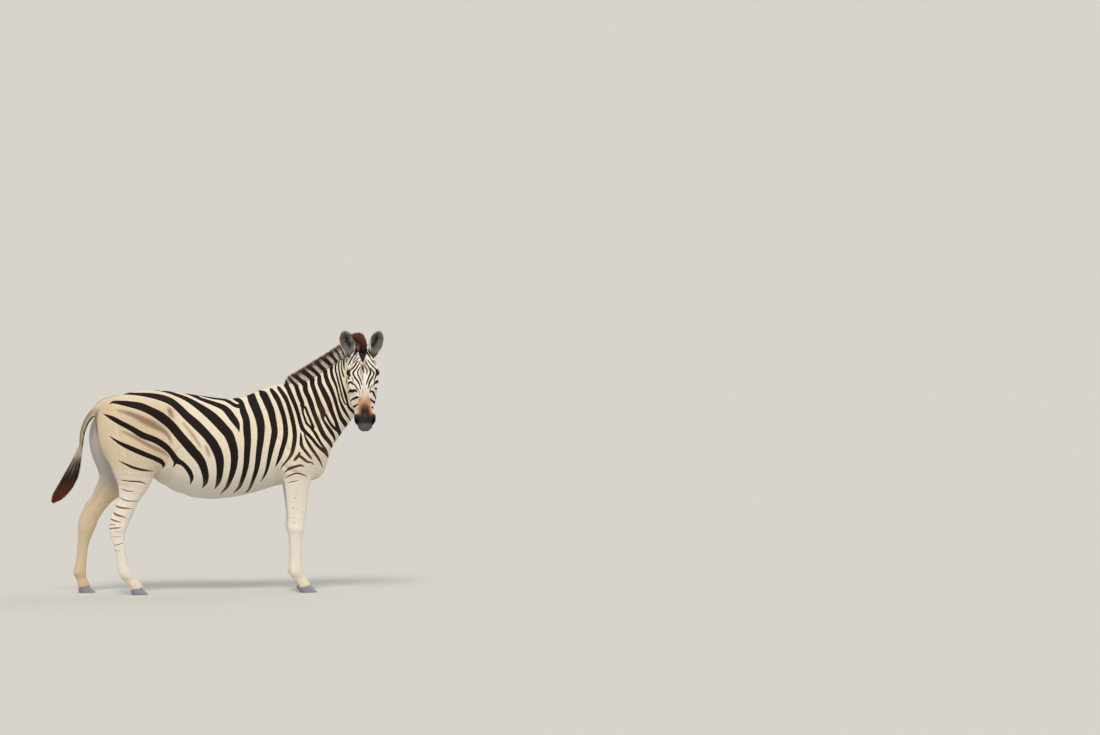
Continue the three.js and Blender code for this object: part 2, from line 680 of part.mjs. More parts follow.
zebra.add(mesh("tail_tuft", tuft, darkHair));

// ---- ears --------------------------------------------------------------------------------------------
// A leaf rolled into a cup: a narrow tube at the root that opens and widens, then runs to a point.
function ear(out) {
  const [rows, columns] = [9, 8];
  const buried = 35; // how far its root starts inside the head before it is trimmed
  const lean = rad(EAR_LEAN);
  const turn = rad(EAR_TURN);
  const up = V(out * Math.sin(lean), 0.1, Math.cos(lean)).normalize();
  const facing = V(out * Math.sin(turn), -Math.cos(turn), -0.05);
  facing.addScaledVector(up, -facing.dot(up)).normalize();
  const across = up.clone().cross(facing);
  const root = onHead(out * EAR_AT[0], EAR_AT[1], EAR_AT[2]);
  const skin = (depth) =>
    Array.from({ length: rows + 1 }, (_, r) => {
      const t = r / rows;
      const leaf = (0.42 + 1.35 * t - 0.25 * t ** 2 - 1.42 * t ** 5) * (1 - 0.12 * t ** 12);
      const wide = (EAR_WIDTH / 2) * leaf;
      const open = 0.78 + 0.22 * Math.min(1, t * 2.2); // how flat the cup is
      const reach = THREE.MathUtils.lerp(2.55, 1.45, Math.min(1, t * 1.5)); // radians it wraps each way
      return Array.from({ length: columns + 1 }, (_, c) => {
        const angle = (c / columns - 0.5) * 2 * reach;
        const round = Math.max(wide - depth, THINNEST);
        return root
          .clone()
          .addScaledVector(up, -buried + t * (EAR_LENGTH + buried - depth))
          .addScaledVector(across, Math.sin(angle) * round * open)
          .addScaledVector(facing, -Math.cos(angle) * round * 0.72 + wide * 0.25 + t * t * 14);
      });
    });
  const [outer, inner] = [skin(0).flat(), skin(EAR_WALL).flat()];
  const width = columns + 1;
  const n = outer.length;
  const triangles = [];
  const quad = (a, b, c, d) => triangles.push(a, b, c, a, c, d);
  for (let r = 0; r < rows; r++)
    for (let c = 0; c < columns; c++) {
      const a = r * width + c;
      quad(a, a + width, a + width + 1, a + 1);
      quad(n + a, n + a + 1, n + a + width + 1, n + a + width);
    }
  for (let r = 0; r < rows; r++) {
    const [a, b] = [r * width, r * width + columns];
    quad(a, n + a, n + a + width, a + width);
    quad(b, b + width, n + b + width, n + b);
  }
  for (let c = 0; c < columns; c++) {
    const top = rows * width + c;
    quad(c, c + 1, n + c + 1, n + c);
    quad(top, n + top, n + top + 1, top + 1);
  }
  return solid(geometry([...outer, ...inner], triangles));
}
for (const [side, out] of Object.entries(SIDES)) {
  zebra.add(mesh(`ear_${side}`, standingOn(ofHead(ear(out)), headWhole), earHair));
}

// ---- mane and forelock -------------------------------------------------------------------------------
// A stiff upright brush along the crest, from the withers to the poll.
const maneRings = MANE.map(([at, way, tall], i) => {
  const [before, after] = [MANE[Math.max(i - 1, 0)][0], MANE[Math.min(i + 1, MANE.length - 1)][0]];
  const along = V(...after).sub(V(...before));
  const up = V(...way).normalize();
  const side = up.clone().cross(along).normalize();
  const foot = V(...at).addScaledVector(up, -MANE_ROOT);
  const profile = [
    [-0.5, 0],
    [0.5, 0],
    [0.5, 0.5],
    [0.34, 0.85],
    [0, 1],
    [-0.34, 0.85],
    [-0.5, 0.5],
  ];
  return profile.map(([across, high]) =>
    foot
      .clone()
      .addScaledVector(side, across * MANE_WIDTH)
      .addScaledVector(up, high * (MANE_ROOT + tall)),
  );
});
const brush = loft(maneRings);
zebra.add(mesh("mane", standingOn(onNeck(brush), neckWhole), brownHair));
zebra.add(mesh("forelock", standingOn(ofHead(brush), headWhole), brownHair));

// The frame: the middle of the whole model at X = Y = 0, and the soles at Z = 0.
const extent = new THREE.Box3().setFromObject(zebra);
const middle = extent.getCenter(V(0, 0, 0));
zebra.position.set(-middle.x, -middle.y, -extent.min.z);

export default zebra;
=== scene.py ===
"""A plains zebra at life size: its skin, markings, coat, mane, tail, eyes, ears and hooves.

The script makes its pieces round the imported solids. Flesh is one skin, made from the same swept
stations as the solids. Lengths in the tables are millimetres in the animal's own frame: +X ahead,
+Y its left, +Z up from the ground, and the right foreleg's elbow line at x = 470. Finished meshes
are in metres, in the row's frame.
"""
import math

import bmesh
import bpy
import numpy as np
from bpy.props import FloatProperty, FloatVectorProperty, IntProperty, PointerProperty
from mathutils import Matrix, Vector


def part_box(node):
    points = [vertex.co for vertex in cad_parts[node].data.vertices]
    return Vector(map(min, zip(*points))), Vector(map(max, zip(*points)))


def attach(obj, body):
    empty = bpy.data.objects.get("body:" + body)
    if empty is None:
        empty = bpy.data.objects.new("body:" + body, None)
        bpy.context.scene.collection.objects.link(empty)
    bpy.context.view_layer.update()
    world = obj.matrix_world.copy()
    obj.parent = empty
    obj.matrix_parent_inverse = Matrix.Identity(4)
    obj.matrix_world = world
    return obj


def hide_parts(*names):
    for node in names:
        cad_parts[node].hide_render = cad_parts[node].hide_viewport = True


bl_info = {
    "name": "Plains zebra",
    "version": (1, 0, 0),
    "blender": (4, 5, 0),
    "location": "View3D > Sidebar > Zebra",
    "description": "Skin, markings, coat, mane, tail, eyes, ears and hooves of a standing plains zebra",
    "category": "Object",
}

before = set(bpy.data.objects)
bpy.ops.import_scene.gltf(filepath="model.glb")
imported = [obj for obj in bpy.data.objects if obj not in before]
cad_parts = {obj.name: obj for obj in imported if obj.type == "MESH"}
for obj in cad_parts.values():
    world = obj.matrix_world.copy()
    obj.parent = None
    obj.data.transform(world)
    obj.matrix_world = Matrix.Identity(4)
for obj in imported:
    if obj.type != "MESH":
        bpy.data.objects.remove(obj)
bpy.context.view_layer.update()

# ---- the animal's measures
HEAD_PITCH, HEAD_YAW = math.radians(58), math.radians(3.8)
POLL = np.array([873, -200, 1515.0])
EYE_RADIUS = 21
EYE_AT = np.array([81, 151, -38.0])  # across, down the face, out of the face; from the poll
EAR_LENGTH, EAR_WIDTH = 152, 98
EAR_AT = (62, 2, -50)
EAR_LEAN, EAR_TURN = math.radians(19), math.radians(22)
OUT = {"left": 1, "right": -1}  # the way out from the middle
TRACK = {"fore": 118, "hind": 128}  # from the middle to a leg's line
FORE_X = {"right": 470, "left": 486}
HOOF_X = {("fore", "right"): 536, ("fore", "left"): 552, ("hind", "right"): -506, ("hind", "left"): -812}
HOOF_SIZE = {"fore": (110, 90), "hind": (100, 84)}
HOOF_HEIGHT, HOOF_HEEL = 46, 24
HOOF_SLOPE = (HOOF_HEIGHT - HOOF_HEEL) / (HOOF_SIZE["fore"][0] * 0.8)
LIMBS = [(end, side) for end in ("fore", "hind") for side in ("right", "left")]
BLENDS = {"trunk": 60, "neck": 70, "head": 40, "foreleg": 50, "hindleg": 44, "tail": 26}

# Trunk: x, height of the widest line, half width, reach up to the back, reach down to the belly.
TRUNK = [
    (-690, 1090, 66, 105, 90), (-620, 1065, 120, 170, 150), (-500, 1020, 182, 246, 200),
    (-370, 975, 212, 288, 212), (-240, 935, 234, 308, 287), (-100, 905, 250, 317, 323),
    (40, 900, 248, 308, 317), (170, 915, 228, 302, 304), (290, 940, 198, 308, 292),
    (400, 970, 164, 310, 305), (500, 985, 136, 250, 270), (590, 965, 96, 150, 190),
]
# Neck: a point on its line, half width, reach to the crest, reach to the throat.
NECK = [
    (395, 0, 1010, 150, 262, 300), (540, 4, 1075, 122, 245, 255), (652, 2, 1158, 98, 196, 205),
    (735, -14, 1232, 86, 176, 178), (800, -44, 1300, 80, 156, 150), (842, -84, 1362, 78, 128, 118),
    (864, -124, 1412, 74, 92, 92),
]
# Head: distance down the face, centre below the line of the face, half width, reach out, reach under.
SKULL = [
    (-6, -70, 52, 50, 60), (60, -70, 74, 66, 74), (125, -72, 88, 74, 82), (185, -72, 86, 74, 80),
    (260, -68, 68, 66, 66), (345, -62, 52, 56, 52), (425, -56, 48, 47, 46), (480, -54, 54, 44, 46),
    (520, -60, 47, 34, 38),
]
JAW = [
    (92, -132, 62, 50, 58), (160, -150, 84, 64, 64), (235, -145, 90, 58, 57), (310, -124, 79, 44, 42),
    (400, -112, 51, 34, 32), (470, -110, 40, 30, 30), (504, -112, 31, 24, 24),
]
# Foreleg: x from the elbow line, y out from the track, height, half width, reach ahead, reach behind.
FORELEG = [
    (22, 24, 880, 56, 76, 80), (10, 20, 790, 58, 94, 96), (2, 8, 700, 50, 92, 82), (2, 2, 600, 40, 77, 70),
    (0, 0, 500, 33, 66, 56), (0, 0, 425, 34, 55, 52), (-2, 0, 385, 36, 53, 51), (-2, 0, 340, 29, 43, 41),
    (0, 0, 290, 25, 37, 36), (0, 0, 200, 24, 35, 35), (0, 0, 150, 29, 38, 42), (4, 0, 118, 31, 40, 43),
    (28, 0, 84, 27, 32, 32), (52, 0, 50, 33, 34, 38), (62, 0, 22, 34, 36, 40),
]
# Hind leg: height, x of the right and of the left, y out, half width, reach ahead, reach behind.
HINDLEG = [
    (1030, -510, -545, 10, 70, 118, 120), (930, -528, -575, 16, 84, 150, 150),
    (840, -532, -590, 14, 80, 150, 146), (760, -532, -606, 10, 68, 134, 134),
    (690, -538, -636, 6, 56, 108, 106), (620, -556, -690, 2, 44, 78, 76),
    (550, -578, -741, 0, 36, 62, 62), (490, -600, -778, -4, 32, 60, 62),
    (440, -622, -797, -6, 33, 58, 62), (395, -630, -809, -6, 33, 50, 54),
    (345, -628, -821, -4, 28, 42, 42), (290, -618, -830, 0, 25, 35, 35),
    (210, -602, -837, 0, 24, 33, 34), (155, -592, -845, 0, 28, 35, 38),
    (118, -576, -845, 0, 31, 38, 42), (86, -545, -836, 0, 27, 30, 34),
    (52, -516, -822, 0, 33, 34, 40), (22, -500, -812, 0, 34, 36, 40),
]
TAIL = [
    (-640, 0, 1190, 36, 36, 36), (-712, 0, 1170, 32, 34, 34), (-765, 2, 1128, 25, 26, 26),
    (-812, 4, 1068, 21, 22, 22), (-838, 6, 995, 18, 19, 19), (-846, 8, 915, 15, 16, 16),
    (-856, 10, 850, 12, 13, 13),
]
# Muscle and bone under the skin: centre, half sizes, blend; then whether both sides have it.
MASSES = [
    ((452, 132, 900), (140, 84, 150), 70, True), ((395, 84, 1130), (120, 78, 130), 80, True),
    ((596, 82, 905), (92, 92, 108), 70, True), ((576, 58, 792), (88, 70, 98), 60, True),
    ((-452, 118, 1105), (170, 118, 132), 90, True), ((-632, -98, 990), (118, 72, 180), 80, False),
    ((-672, 102, 965), (124, 74, 200), 80, False), ((-462, 148, 905), (108, 84, 140), 55, True),
]
# The head's ridges and hollows: across, down, out; half sizes; blend; raised or hollowed.
HEAD_FORMS = [
    ((76, 146, -30), (24, 34, 22), 22, True), ((72, 205, -62), (22, 60, 26), 30, True),
    ((46, 470, -44), (22, 34, 26), 22, True), ((56, 98, -22), (24, 36, 20), 34, True),
]


def unit(v):
    v = np.asarray(v, float)
    return v / np.linalg.norm(v, axis=-1, keepdims=True)


def lengths(v):
    return np.linalg.norm(v, axis=-1)


def head_matrix():
    """Columns across, down the face and out of the face, in the animal's frame."""
    c, s = math.cos(HEAD_PITCH), math.sin(HEAD_PITCH)
    pitched = np.array([[1, 0, 0], [0, -c, -s], [0, -s, c]]).T
    c, s = math.cos(-HEAD_YAW), math.sin(-HEAD_YAW)
    return np.array([[c, -s, 0], [s, c, 0], [0, 0, 1]]) @ pitched


HEAD = head_matrix()


def on_head(p):
    return POLL + np.asarray(p, float) @ HEAD.T


def in_head(p):
    return (p - POLL) @ HEAD


def one_side(h):
    """Places in the head's frame, with those on its right at the like place on its left."""
    q = h.copy()
    q[:, 0] = np.abs(q[:, 0])
    return q


def from_face(p, down=270):
    """How far places are from the middle of the head."""
    return lengths(p - on_head((0, down, -80)))


def shift_to_row():
    """The step from the animal's frame to the row's, from the left eye's place in both."""
    low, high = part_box("eye_left")
    middle = (np.array(low) + np.array(high)) / 2
    return middle - on_head(EYE_AT) * 0.001


SHIFT = shift_to_row()


def to_row(p):
    return np.asarray(p) * 0.001 + SHIFT


# ---- the flesh as a distance field
def smooth_through(rows, per_span):
    """Catmull-Rom values through the rows of a table."""
    rows = np.asarray(rows, float)
    n = len(rows)
    out = []
    for i in range((n - 1) * per_span + 1):
        k = min(i // per_span, n - 2)
        t = i / per_span - k
        a, b = rows[k], rows[k + 1]
        before = rows[k - 1] if k > 0 else 2 * a - b
        after = rows[k + 2] if k + 2 < n else 2 * b - a
        m, e = (b - before) / 2, (after - a) / 2
        out.append((2 * t**3 - 3 * t**2 + 1) * a + (t**3 - 2 * t**2 + t) * m
                   + (3 * t**2 - 2 * t**3) * b + (t**3 - t**2) * e)
    return np.array(out)


class Sweep:
    """A limb of elliptical sections: rows of x, y, z, half width, reach in front, reach behind."""

    def __init__(self, rows, hint, blend):
        rings = smooth_through(rows, 2)
        at = rings[:, :3]
        i = np.arange(len(at))
        along = unit(at[np.minimum(i + 1, len(at) - 1)] - at[np.maximum(i - 1, 0)])
        side = unit(np.cross(hint, along))
        face = np.cross(along, side)
        self.at, self.along, self.side, self.face = at, along, side, face
        self.reach = rings[:, 3:]
        self.blend = blend

    def distance(self, p, most):
        """How far each point is outside; points further off than most need not be exact."""
        least = np.full(len(p), 1e6)
        for i in range(len(self.at) - 1):
            axis = self.at[i + 1] - self.at[i]
            ball = np.linalg.norm(axis) / 2 + self.reach[i:i + 2].max()
            far = lengths(p - (self.at[i] + self.at[i + 1]) / 2) - ball
            near = np.flatnonzero(far < np.minimum(least, most))
            if not len(near):
                continue
            q = p[near] - self.at[i]
            t = np.clip(q @ axis / (axis @ axis), 0, 1)
            q = q - t[:, None] * axis

            def part(rows):
                return np.einsum("ij,ij->i", q, rows[i] + (rows[i + 1] - rows[i]) * t[:, None])

            u, v, w = part(self.side), part(self.face), part(self.along)
            half, front, back = (self.reach[i] + (self.reach[i + 1] - self.reach[i]) * t[:, None]).T
            rv = np.where(v > 0, front, back)
            d = ellipsoid(np.stack([u, v, w], 1), np.stack([half, rv, np.minimum(half, rv)], 1))
            least[near] = np.minimum(least[near], d)
        return least


def ellipsoid(q, half):
    near = lengths(q / half)
    slope = np.maximum(lengths(q / np.square(half)), 1e-9)
    return near * (near - 1) / slope


def soft_min(a, b, k):
    h = np.maximum(k - np.abs(a - b), 0) / k
    return np.minimum(a, b) - h * h * k / 4


def soft_max(a, b, k):
    return -soft_min(-a, -b, k)


def ramp(x, low, high):
    t = np.clip((x - low) / (high - low), 0, 1)
    return t * t * (3 - 2 * t)


def limb_rows(end, side):
    """A leg's stations as a sweep takes them."""
    if end == "fore":
        return [(FORE_X[side] + x, OUT[side] * (TRACK[end] + y), z, *size) for x, y, z, *size in FORELEG]
    column = 2 if side == "left" else 1
    return [(row[column], OUT[side] * (TRACK[end] + row[3]), row[0], *row[4:]) for row in HINDLEG]


UP, AHEAD, LEFT = np.eye(3)[[2, 0, 1]]
LEGS = {key: Sweep(limb_rows(*key), AHEAD, BLENDS[key[0] + "leg"]) for key in LIMBS}
NECK_SWEEP = Sweep(NECK, UP, BLENDS["neck"])
HEAD_SWEEPS = [
    Sweep([(*on_head((0, down, out)), *reach) for down, out, *reach in rows], HEAD[:, 2], BLENDS["head"])
    for rows in (SKULL, JAW)
]
TRUNK_SWEEP = Sweep([(x, 0, z, h, up, down) for x, z, h, up, down in TRUNK], UP, BLENDS["trunk"])
TAIL_SWEEP = Sweep(TAIL, UP, BLENDS["tail"])
SWEEPS = [TRUNK_SWEEP, NECK_SWEEP, *LEGS.values(), *HEAD_SWEEPS, TAIL_SWEEP]


def both_sides(centre, axis):
    centre = np.array(centre, float)
    flipped = centre.copy()
    flipped[axis] *= -1
    return [centre, flipped]


def flesh(p):
    """Signed distance, in millimetres, to the animal's outside without its fine forms."""
    d = np.full(len(p), 1000.0)
    for sweep in SWEEPS:
        d = soft_min(d, sweep.distance(p, d + sweep.blend), sweep.blend)
    for centre, half, blend, twin in MASSES:
        for at in both_sides(centre, 1)[: 2 if twin else 1]:
            near = np.flatnonzero(lengths(p - at) - max(half) < d + blend)
            d[near] = soft_min(d[near], ellipsoid(p[near] - at, np.array([half], float)), blend)
    return d


HEAD_BACK = (np.array([850, -138, 1395.0]), unit([-0.2, 0.86, -0.46]))  # a plane: a place on it, the way back
HEAD_TOP = -60  # down the face from the poll, so above it


def behind_head(p):
    """How far places are behind the back of the head."""
    return (p - HEAD_BACK[0]) @ HEAD_BACK[1]


class Stroke:
    """A dark stroke: a smooth line with a half width along it, tapering beyond its ends."""

    TAPER = 0.7

    def __init__(self, text):
        self.rows = smooth_through([[float(v) for v in row.split(",")] for row in text.split()], 4)
        self.low = (self.rows[:, :2] - self.rows[:, 2:]).min(0)
        self.high = (self.rows[:, :2] + self.rows[:, 2:]).max(0)

    def near(self, q, margin):
        return np.flatnonzero(((q > self.low - margin) & (q < self.high + margin)).all(1))

    def measure(self, q):
        """For points of the flat view: signed distance to the middle, and the half width there."""
        a, b = self.rows[:-1], self.rows[1:]
        best = np.full(len(q), 1e9)
        across, half = np.zeros(len(q)), np.zeros(len(q))
        last = len(a) - 1
        endless = 1e9
        for i in range(last + 1):
            step = b[i, :2] - a[i, :2]
            length = math.hypot(*step)
            step = step / length
            d = q - a[i, :2]
            along = d @ step
            side = d[:, 0] * step[1] - d[:, 1] * step[0]
            held = np.clip(along, -endless if i == 0 else 0, endless if i == last else length)
            far = np.hypot(side, along - held)
            beyond = np.maximum(-held, 0) + np.maximum(held - length, 0)
            rank = np.hypot(far, beyond)
            take = rank < best
            best[take] = rank[take]
            width = a[i, 2] + (b[i, 2] - a[i, 2]) * np.clip(held / length, 0, 1) - beyond * self.TAPER
            across[take] = (np.where(side < 0, -1, 1) * far)[take]
            half[take] = width[take]
        return across, half


# How far the right hind leg is ahead of the left, by height.
HIND_LEAD = np.array([(row[0], row[1] - row[2]) for row in HINDLEG])[::-1]


def hind_lead(x, z):
    """How far the right side's places are ahead of the left's."""
    return np.interp(z, *HIND_LEAD.T) * ramp(-x, 150, 420) * (1 - ramp(z, 1000, 1230))


# Folds and hollows of the right side: x, height, half width along each; then depth, or height if negative.
FOLDS = [(Stroke(line), deep) for line, deep in (
    ("-345,790,2 -306,836,5 -272,880,4 -250,910,1", 8), ("-330,806,3 -285,850,6 -252,890,3", -3),
    ("-640,1060,2 -628,980,5 -602,900,6 -572,820,4 -560,760,1", 6), ("-336,985,3 -326,920,6 -320,850,5", 4),
    ("-345,1175,8 -312,1146,14", -8), ("302,1185,3 284,1100,6 300,1010,7 342,940,5", 5),
    ("350,960,4 392,905,6 440,850,5 470,800,2", 6), ("382,792,5 420,760,6 470,742,4", 7),
    ("556,950,4 574,895,6 575,830,5 562,775,3", 7), ("560,1000,4 640,1085,8 716,1165,8 770,1236,4", 6),
    ("430,1205,4 520,1245,6 620,1315,6", 3), ("240,1000,5 215,900,7 190,800,6 175,730,3", 2),
    ("186,1010,5 160,900,7 135,790,6 120,720,3", 2), ("132,1010,5 104,890,7 80,780,6 66,710,3", 2),
    ("76,1000,5 48,880,7 26,770,6 14,700,3", 2), ("20,990,5 -8,870,7 -30,770,6", 2),
)]


def coronet(p, x):
    """Distance below the sloping top of the hoof under a leg."""
    return (p - np.array([x, 0, (HOOF_HEIGHT + HOOF_HEEL) / 2])) @ unit([HOOF_SLOPE, 0, -1])


def bump(x, width):
    return np.exp(-np.square(x / width))


EYE_OUT = unit([0.8, -0.05, 0.6])  # the way the left eye looks, in the head's frame
EYE_CORNER = np.array([0, 0.84, 0.54])  # towards its inner corner, which is the lower
EYE_ALONG = unit(EYE_CORNER - EYE_CORNER @ EYE_OUT * EYE_OUT)
EYE_UPPER = np.cross(EYE_OUT, EYE_ALONG)
NOSTRIL_AT, NOSTRIL_HOLE, NOSTRIL_TURN = (52, 500, -44), (50, 500, -42), math.radians(28)
MOUTH_LINE = -98


def eye_parts(h):
    """For points in the head's frame: place out of, along and above each eye, the nearer one's."""
    e = one_side(h) - EYE_AT
    return e @ EYE_OUT, e @ EYE_ALONG, e @ EYE_UPPER, lengths(e)


def opening(along, above):
    """How far a point is outside the almond between the lids, seen from outside."""
    arch = 1 - np.square(along / 21)
    return np.maximum(above - 10.5 * arch, -above - 7.5 * arch)


def head_detail(d, h, carved):
    """Adds the head's fine forms to the field, for points h in its own frame."""
    for centre, half, blend, raised in HEAD_FORMS:
        for at in both_sides(centre, 0):
            form = ellipsoid(h - at, np.array([half], float))
            d = soft_min(d, form, blend) if raised else soft_max(d, -form, blend)
    if not carved:
        return d
    # eyes: lids round the ball, cut to an almond, with a crease above
    out, along, above, far = eye_parts(h)
    lids = ellipsoid(np.stack([out, along, above], 1), np.array([[22.8, 26, 23.6]]))
    d = soft_min(d, lids, 9)
    almond = opening(along, above)
    rim = np.hypot(np.clip(almond, -30, 30), far - EYE_RADIUS - 0.8) - 1.9
    d = soft_min(d, np.where(out > 0, rim, 50), 3)
    d = d + 1.8 * bump(almond - 8.5, 1.8) * (above > 0) * bump(far - 26, 9)
    d = d + 1.2 * bump(almond - 7, 1.8) * (above < 0) * bump(far - 26, 9)
    d = soft_max(d, -np.maximum(almond, 7 - out), 1.5)
    # nostrils: a comma with a raised rim
    x, y, z = (one_side(h) - NOSTRIL_HOLE).T
    c, s = math.cos(NOSTRIL_TURN), math.sin(NOSTRIL_TURN)
    hole = ellipsoid(np.stack([x * c - y * s, x * s + y * c, z], 1), np.array([[10.0, 20, 18]]))
    d = d - 4.5 * bump(hole - 4, 4.5)
    d = soft_max(d, -hole, 4)
    # mouth: a groove from corner to corner, deepest at the front, over the lower lip
    across, down, face = h.T
    below = face - (MOUTH_LINE + 0.03 * (down - 500))
    groove = bump(below, 3.2) * ramp(down, 425, 455)
    d = d + 7 * groove - 2.5 * bump(below - 9, 6) * ramp(down, 430, 470) * (np.abs(across) > 8)
    chin = ellipsoid(h - np.array([0, 488, -130.0]), np.array([[27.0, 26, 17]]))
    return soft_min(d, chin, 14)


LEG_ROWS = {key: np.array(sorted(limb_rows(*key), key=lambda row: row[2])) for key in LIMBS}


def leg_detail(d, p, end, side):
    """Adds to the field, for points round one leg, the forms of its tendons and joints."""
    rows = LEG_ROWS[end, side]
    z = p[:, 2]
    x, y, half, ahead, behind = [np.interp(z, rows[:, 2], rows[:, k]) for k in (0, 1, 3, 4, 5)]
    front, back = (p[:, 0] - x) / ahead, (x - p[:, 0]) / behind
    flank = ramp(np.abs(p[:, 1] - y) / half, 0.3, 0.8)

    def between(low, high, soft=30):
        return ramp(z, low, low + soft) * (1 - ramp(z, high - soft, high))

    e = 7 * bump(back - 0.36, 0.15) * between(165, 390) * flank  # between cannon bone and tendons
    e -= 3 * bump(z - 128, 15) * bump(back - 0.5, 0.35) * flank  # the fetlock's small bones
    e += 3.5 * bump(z - 88, 17) * flank + 3 * bump(z - 90, 14) * ramp(back, 0.5, 0.9)  # pastern
    e -= 2 * bump(z - 148, 10) * ramp(front, 0.5, 0.9)
    if end == "hind":
        e += 15 * bump(back - 0.42, 0.2) * between(520, 700, 55) * flank  # in front of the hamstring
        e += 5 * bump(z - 600, 26) * ramp(back, 0.55, 0.95) - 3.5 * bump(z - 552, 20) * ramp(back, 0.5, 0.9)
        e -= 4 * bump(z - 500, 24) * bump(front, 0.5) * flank  # the hock's knobs
        e += 3 * bump(z - 452, 16) * ramp(front, 0.4, 0.9) + 3 * bump(z - 560, 20) * ramp(front, 0.4, 0.9)
    else:
        e += 6 * bump(back - 0.05, 0.16) * between(440, 660, 60) * flank  # down the forearm
        e -= 3.5 * bump(z - 398, 20) * flank + 5 * bump(z - 414, 15) * ramp(back, 0.55, 0.95)  # knee
        e += 4 * bump(z - 356, 17) * ramp(back, 0.45, 0.9) + 2.5 * bump(z - 446, 16) * ramp(front, 0.4, 0.9)
        e += 2 * bump(z - 402, 6) * ramp(front, 0.4, 0.9) - 1.5 * bump(z - 384, 9) * ramp(front, 0.4, 0.9)
    return d + e


def folded(d, p):
    """Adds the hollows between muscles and the skin's folds, given by their places seen from the side."""
    q = p[:, ::2].copy()
    q[:, 0] += (p[:, 1] > 0) * hind_lead(p[:, 0], p[:, 2])
    aside = ramp(np.abs(p[:, 1]), 30, 90)
    for fold, deep in FOLDS:
        near = fold.near(q, 18)
        across, half = fold.measure(q[near])
        d[near] += deep * ramp(half - np.abs(across), -16, 8) * aside[near]
    return d


def fine_flesh(p, carved=True):
    """The outside with its fine forms, inside the solids by the depth of the coat."""
    d = flesh(p)
    skin = np.flatnonzero(np.abs(d) < 60)
    if len(skin):
        d[skin] = folded(d[skin], p[skin])
    near = np.flatnonzero((np.abs(d) < 80) & (from_face(p) < 420))
    if len(near):
        d[near] = head_detail(d[near], in_head(p[near]), carved)
    x, y, z = p[skin].T
    for end, side in LIMBS:
        middle = LEG_ROWS[end, side][:, 0].mean()
        leg = skin[(OUT[side] * y > 0) & (z < 720) & (np.abs(x - middle) < 240)]
        d[leg] = leg_detail(d[leg], p[leg], end, side)
        aside = np.abs(p - (HOOF_X[end, side], OUT[side] * TRACK[end], 0))
        foot = np.flatnonzero((aside < (120, 100, 110)).all(1))
        d[foot] = soft_max(d[foot], coronet(p[foot], HOOF_X[end, side]) - 2, 4)
    return d + coat_depth(p)


def coat_depth(p):
    """How far the skin lies under the outside of the coat."""
    legs = ramp(p[:, 2], 330, 700)
    head = ramp(from_face(p, 300), 250, 420)
    return 1.6 + 3.0 * np.minimum(legs, head)


# ---- from the field to a mesh
SKIN_BOX = np.array([(-905.0, -560, -12), (1030.0, 330, 1625)])
COARSE = 4  # cells of the fine lattice to one of the coarse


def lattice_skin(cell):
    """Surface nets over the animal's box: points and quads."""
    low, high = SKIN_BOX
    n = np.ceil((high - low) / cell).astype(int) + 1
    m = n // COARSE + 2

    def spread(values):
        """Values on the coarse lattice, repeated on the fine one."""
        for axis in range(3):
            values = np.repeat(values, COARSE, axis)
        return values[: n[0], : n[1], : n[2]]

    grid = np.stack(np.meshgrid(*[np.arange(k) for k in m], indexing="ij"), -1).reshape(-1, 3)
    rough = flesh(low + grid * cell * COARSE).reshape(m)
    close = np.abs(rough) < cell * COARSE * 2.2
    wide = close.copy()
    for axis in range(3):
        wide |= np.roll(close, 1, axis) | np.roll(close, -1, axis)
    field, need = np.ascontiguousarray(spread(rough)), spread(wide)
    field[need] = fine_flesh(low + np.argwhere(need) * cell, carved=False)
    inside = field < 0
    total = np.zeros((np.prod(n - 1), 3))
    count = np.zeros(len(total))
    strides = np.array([(n[1] - 1) * (n[2] - 1), n[2] - 1, 1])
    edges = []
    for axis, step in enumerate(np.eye(3, dtype=int)):
        crossing = inside != np.roll(inside, -1, axis)
        end = [slice(None)] * 3
        end[axis] = -1
        crossing[tuple(end)] = False
        ijk = np.argwhere(crossing)
        here, there = field[tuple(ijk.T)], field[tuple((ijk + step).T)]
        point = low + (ijk + (here / (here - there))[:, None] * step) * cell
        cells = []
        for s, t in ((0, 0), (1, 0), (1, 1), (0, 1)):
            corner = ijk.copy()
            corner[:, (axis + 1) % 3] -= s
            corner[:, (axis + 2) % 3] -= t
            cells.append(corner @ strides)
            for k in range(3):
                total[:, k] += np.bincount(cells[-1], point[:, k], len(total))
            count += np.bincount(cells[-1], minlength=len(total))
        quads = np.stack(cells, 1)
        back = here >= there
        quads[back] = quads[back][:, ::-1]
        edges.append(quads)
    used = np.flatnonzero(count)
    index = np.full(len(total), -1)
    index[used] = np.arange(len(used))
    return total[used] / count[used][:, None], index[np.concatenate(edges)]


def settle(points, normal, field):
    """Moves points along their normals on to the field's surface, each by a few millimetres at most."""
    here = field(points)
    slope = np.maximum(field(points + normal) - here, 0.35)
    return points - normal * np.clip(here / slope, -4, 4)[:, None]


def relax(points, edges, normal):
    """Evens out the mesh along its surface."""
    total = np.zeros_like(points)
    for k in range(3):
        for a, b in (edges.T, edges.T[::-1]):
            total[:, k] += np.bincount(a, points[b, k], len(points))
    count = np.bincount(edges.ravel(), minlength=len(points))[:, None]
    move = (total / np.maximum(count, 1) - points) * 0.5
    return points + move - normal * np.einsum("ij,ij->i", move, normal)[:, None]


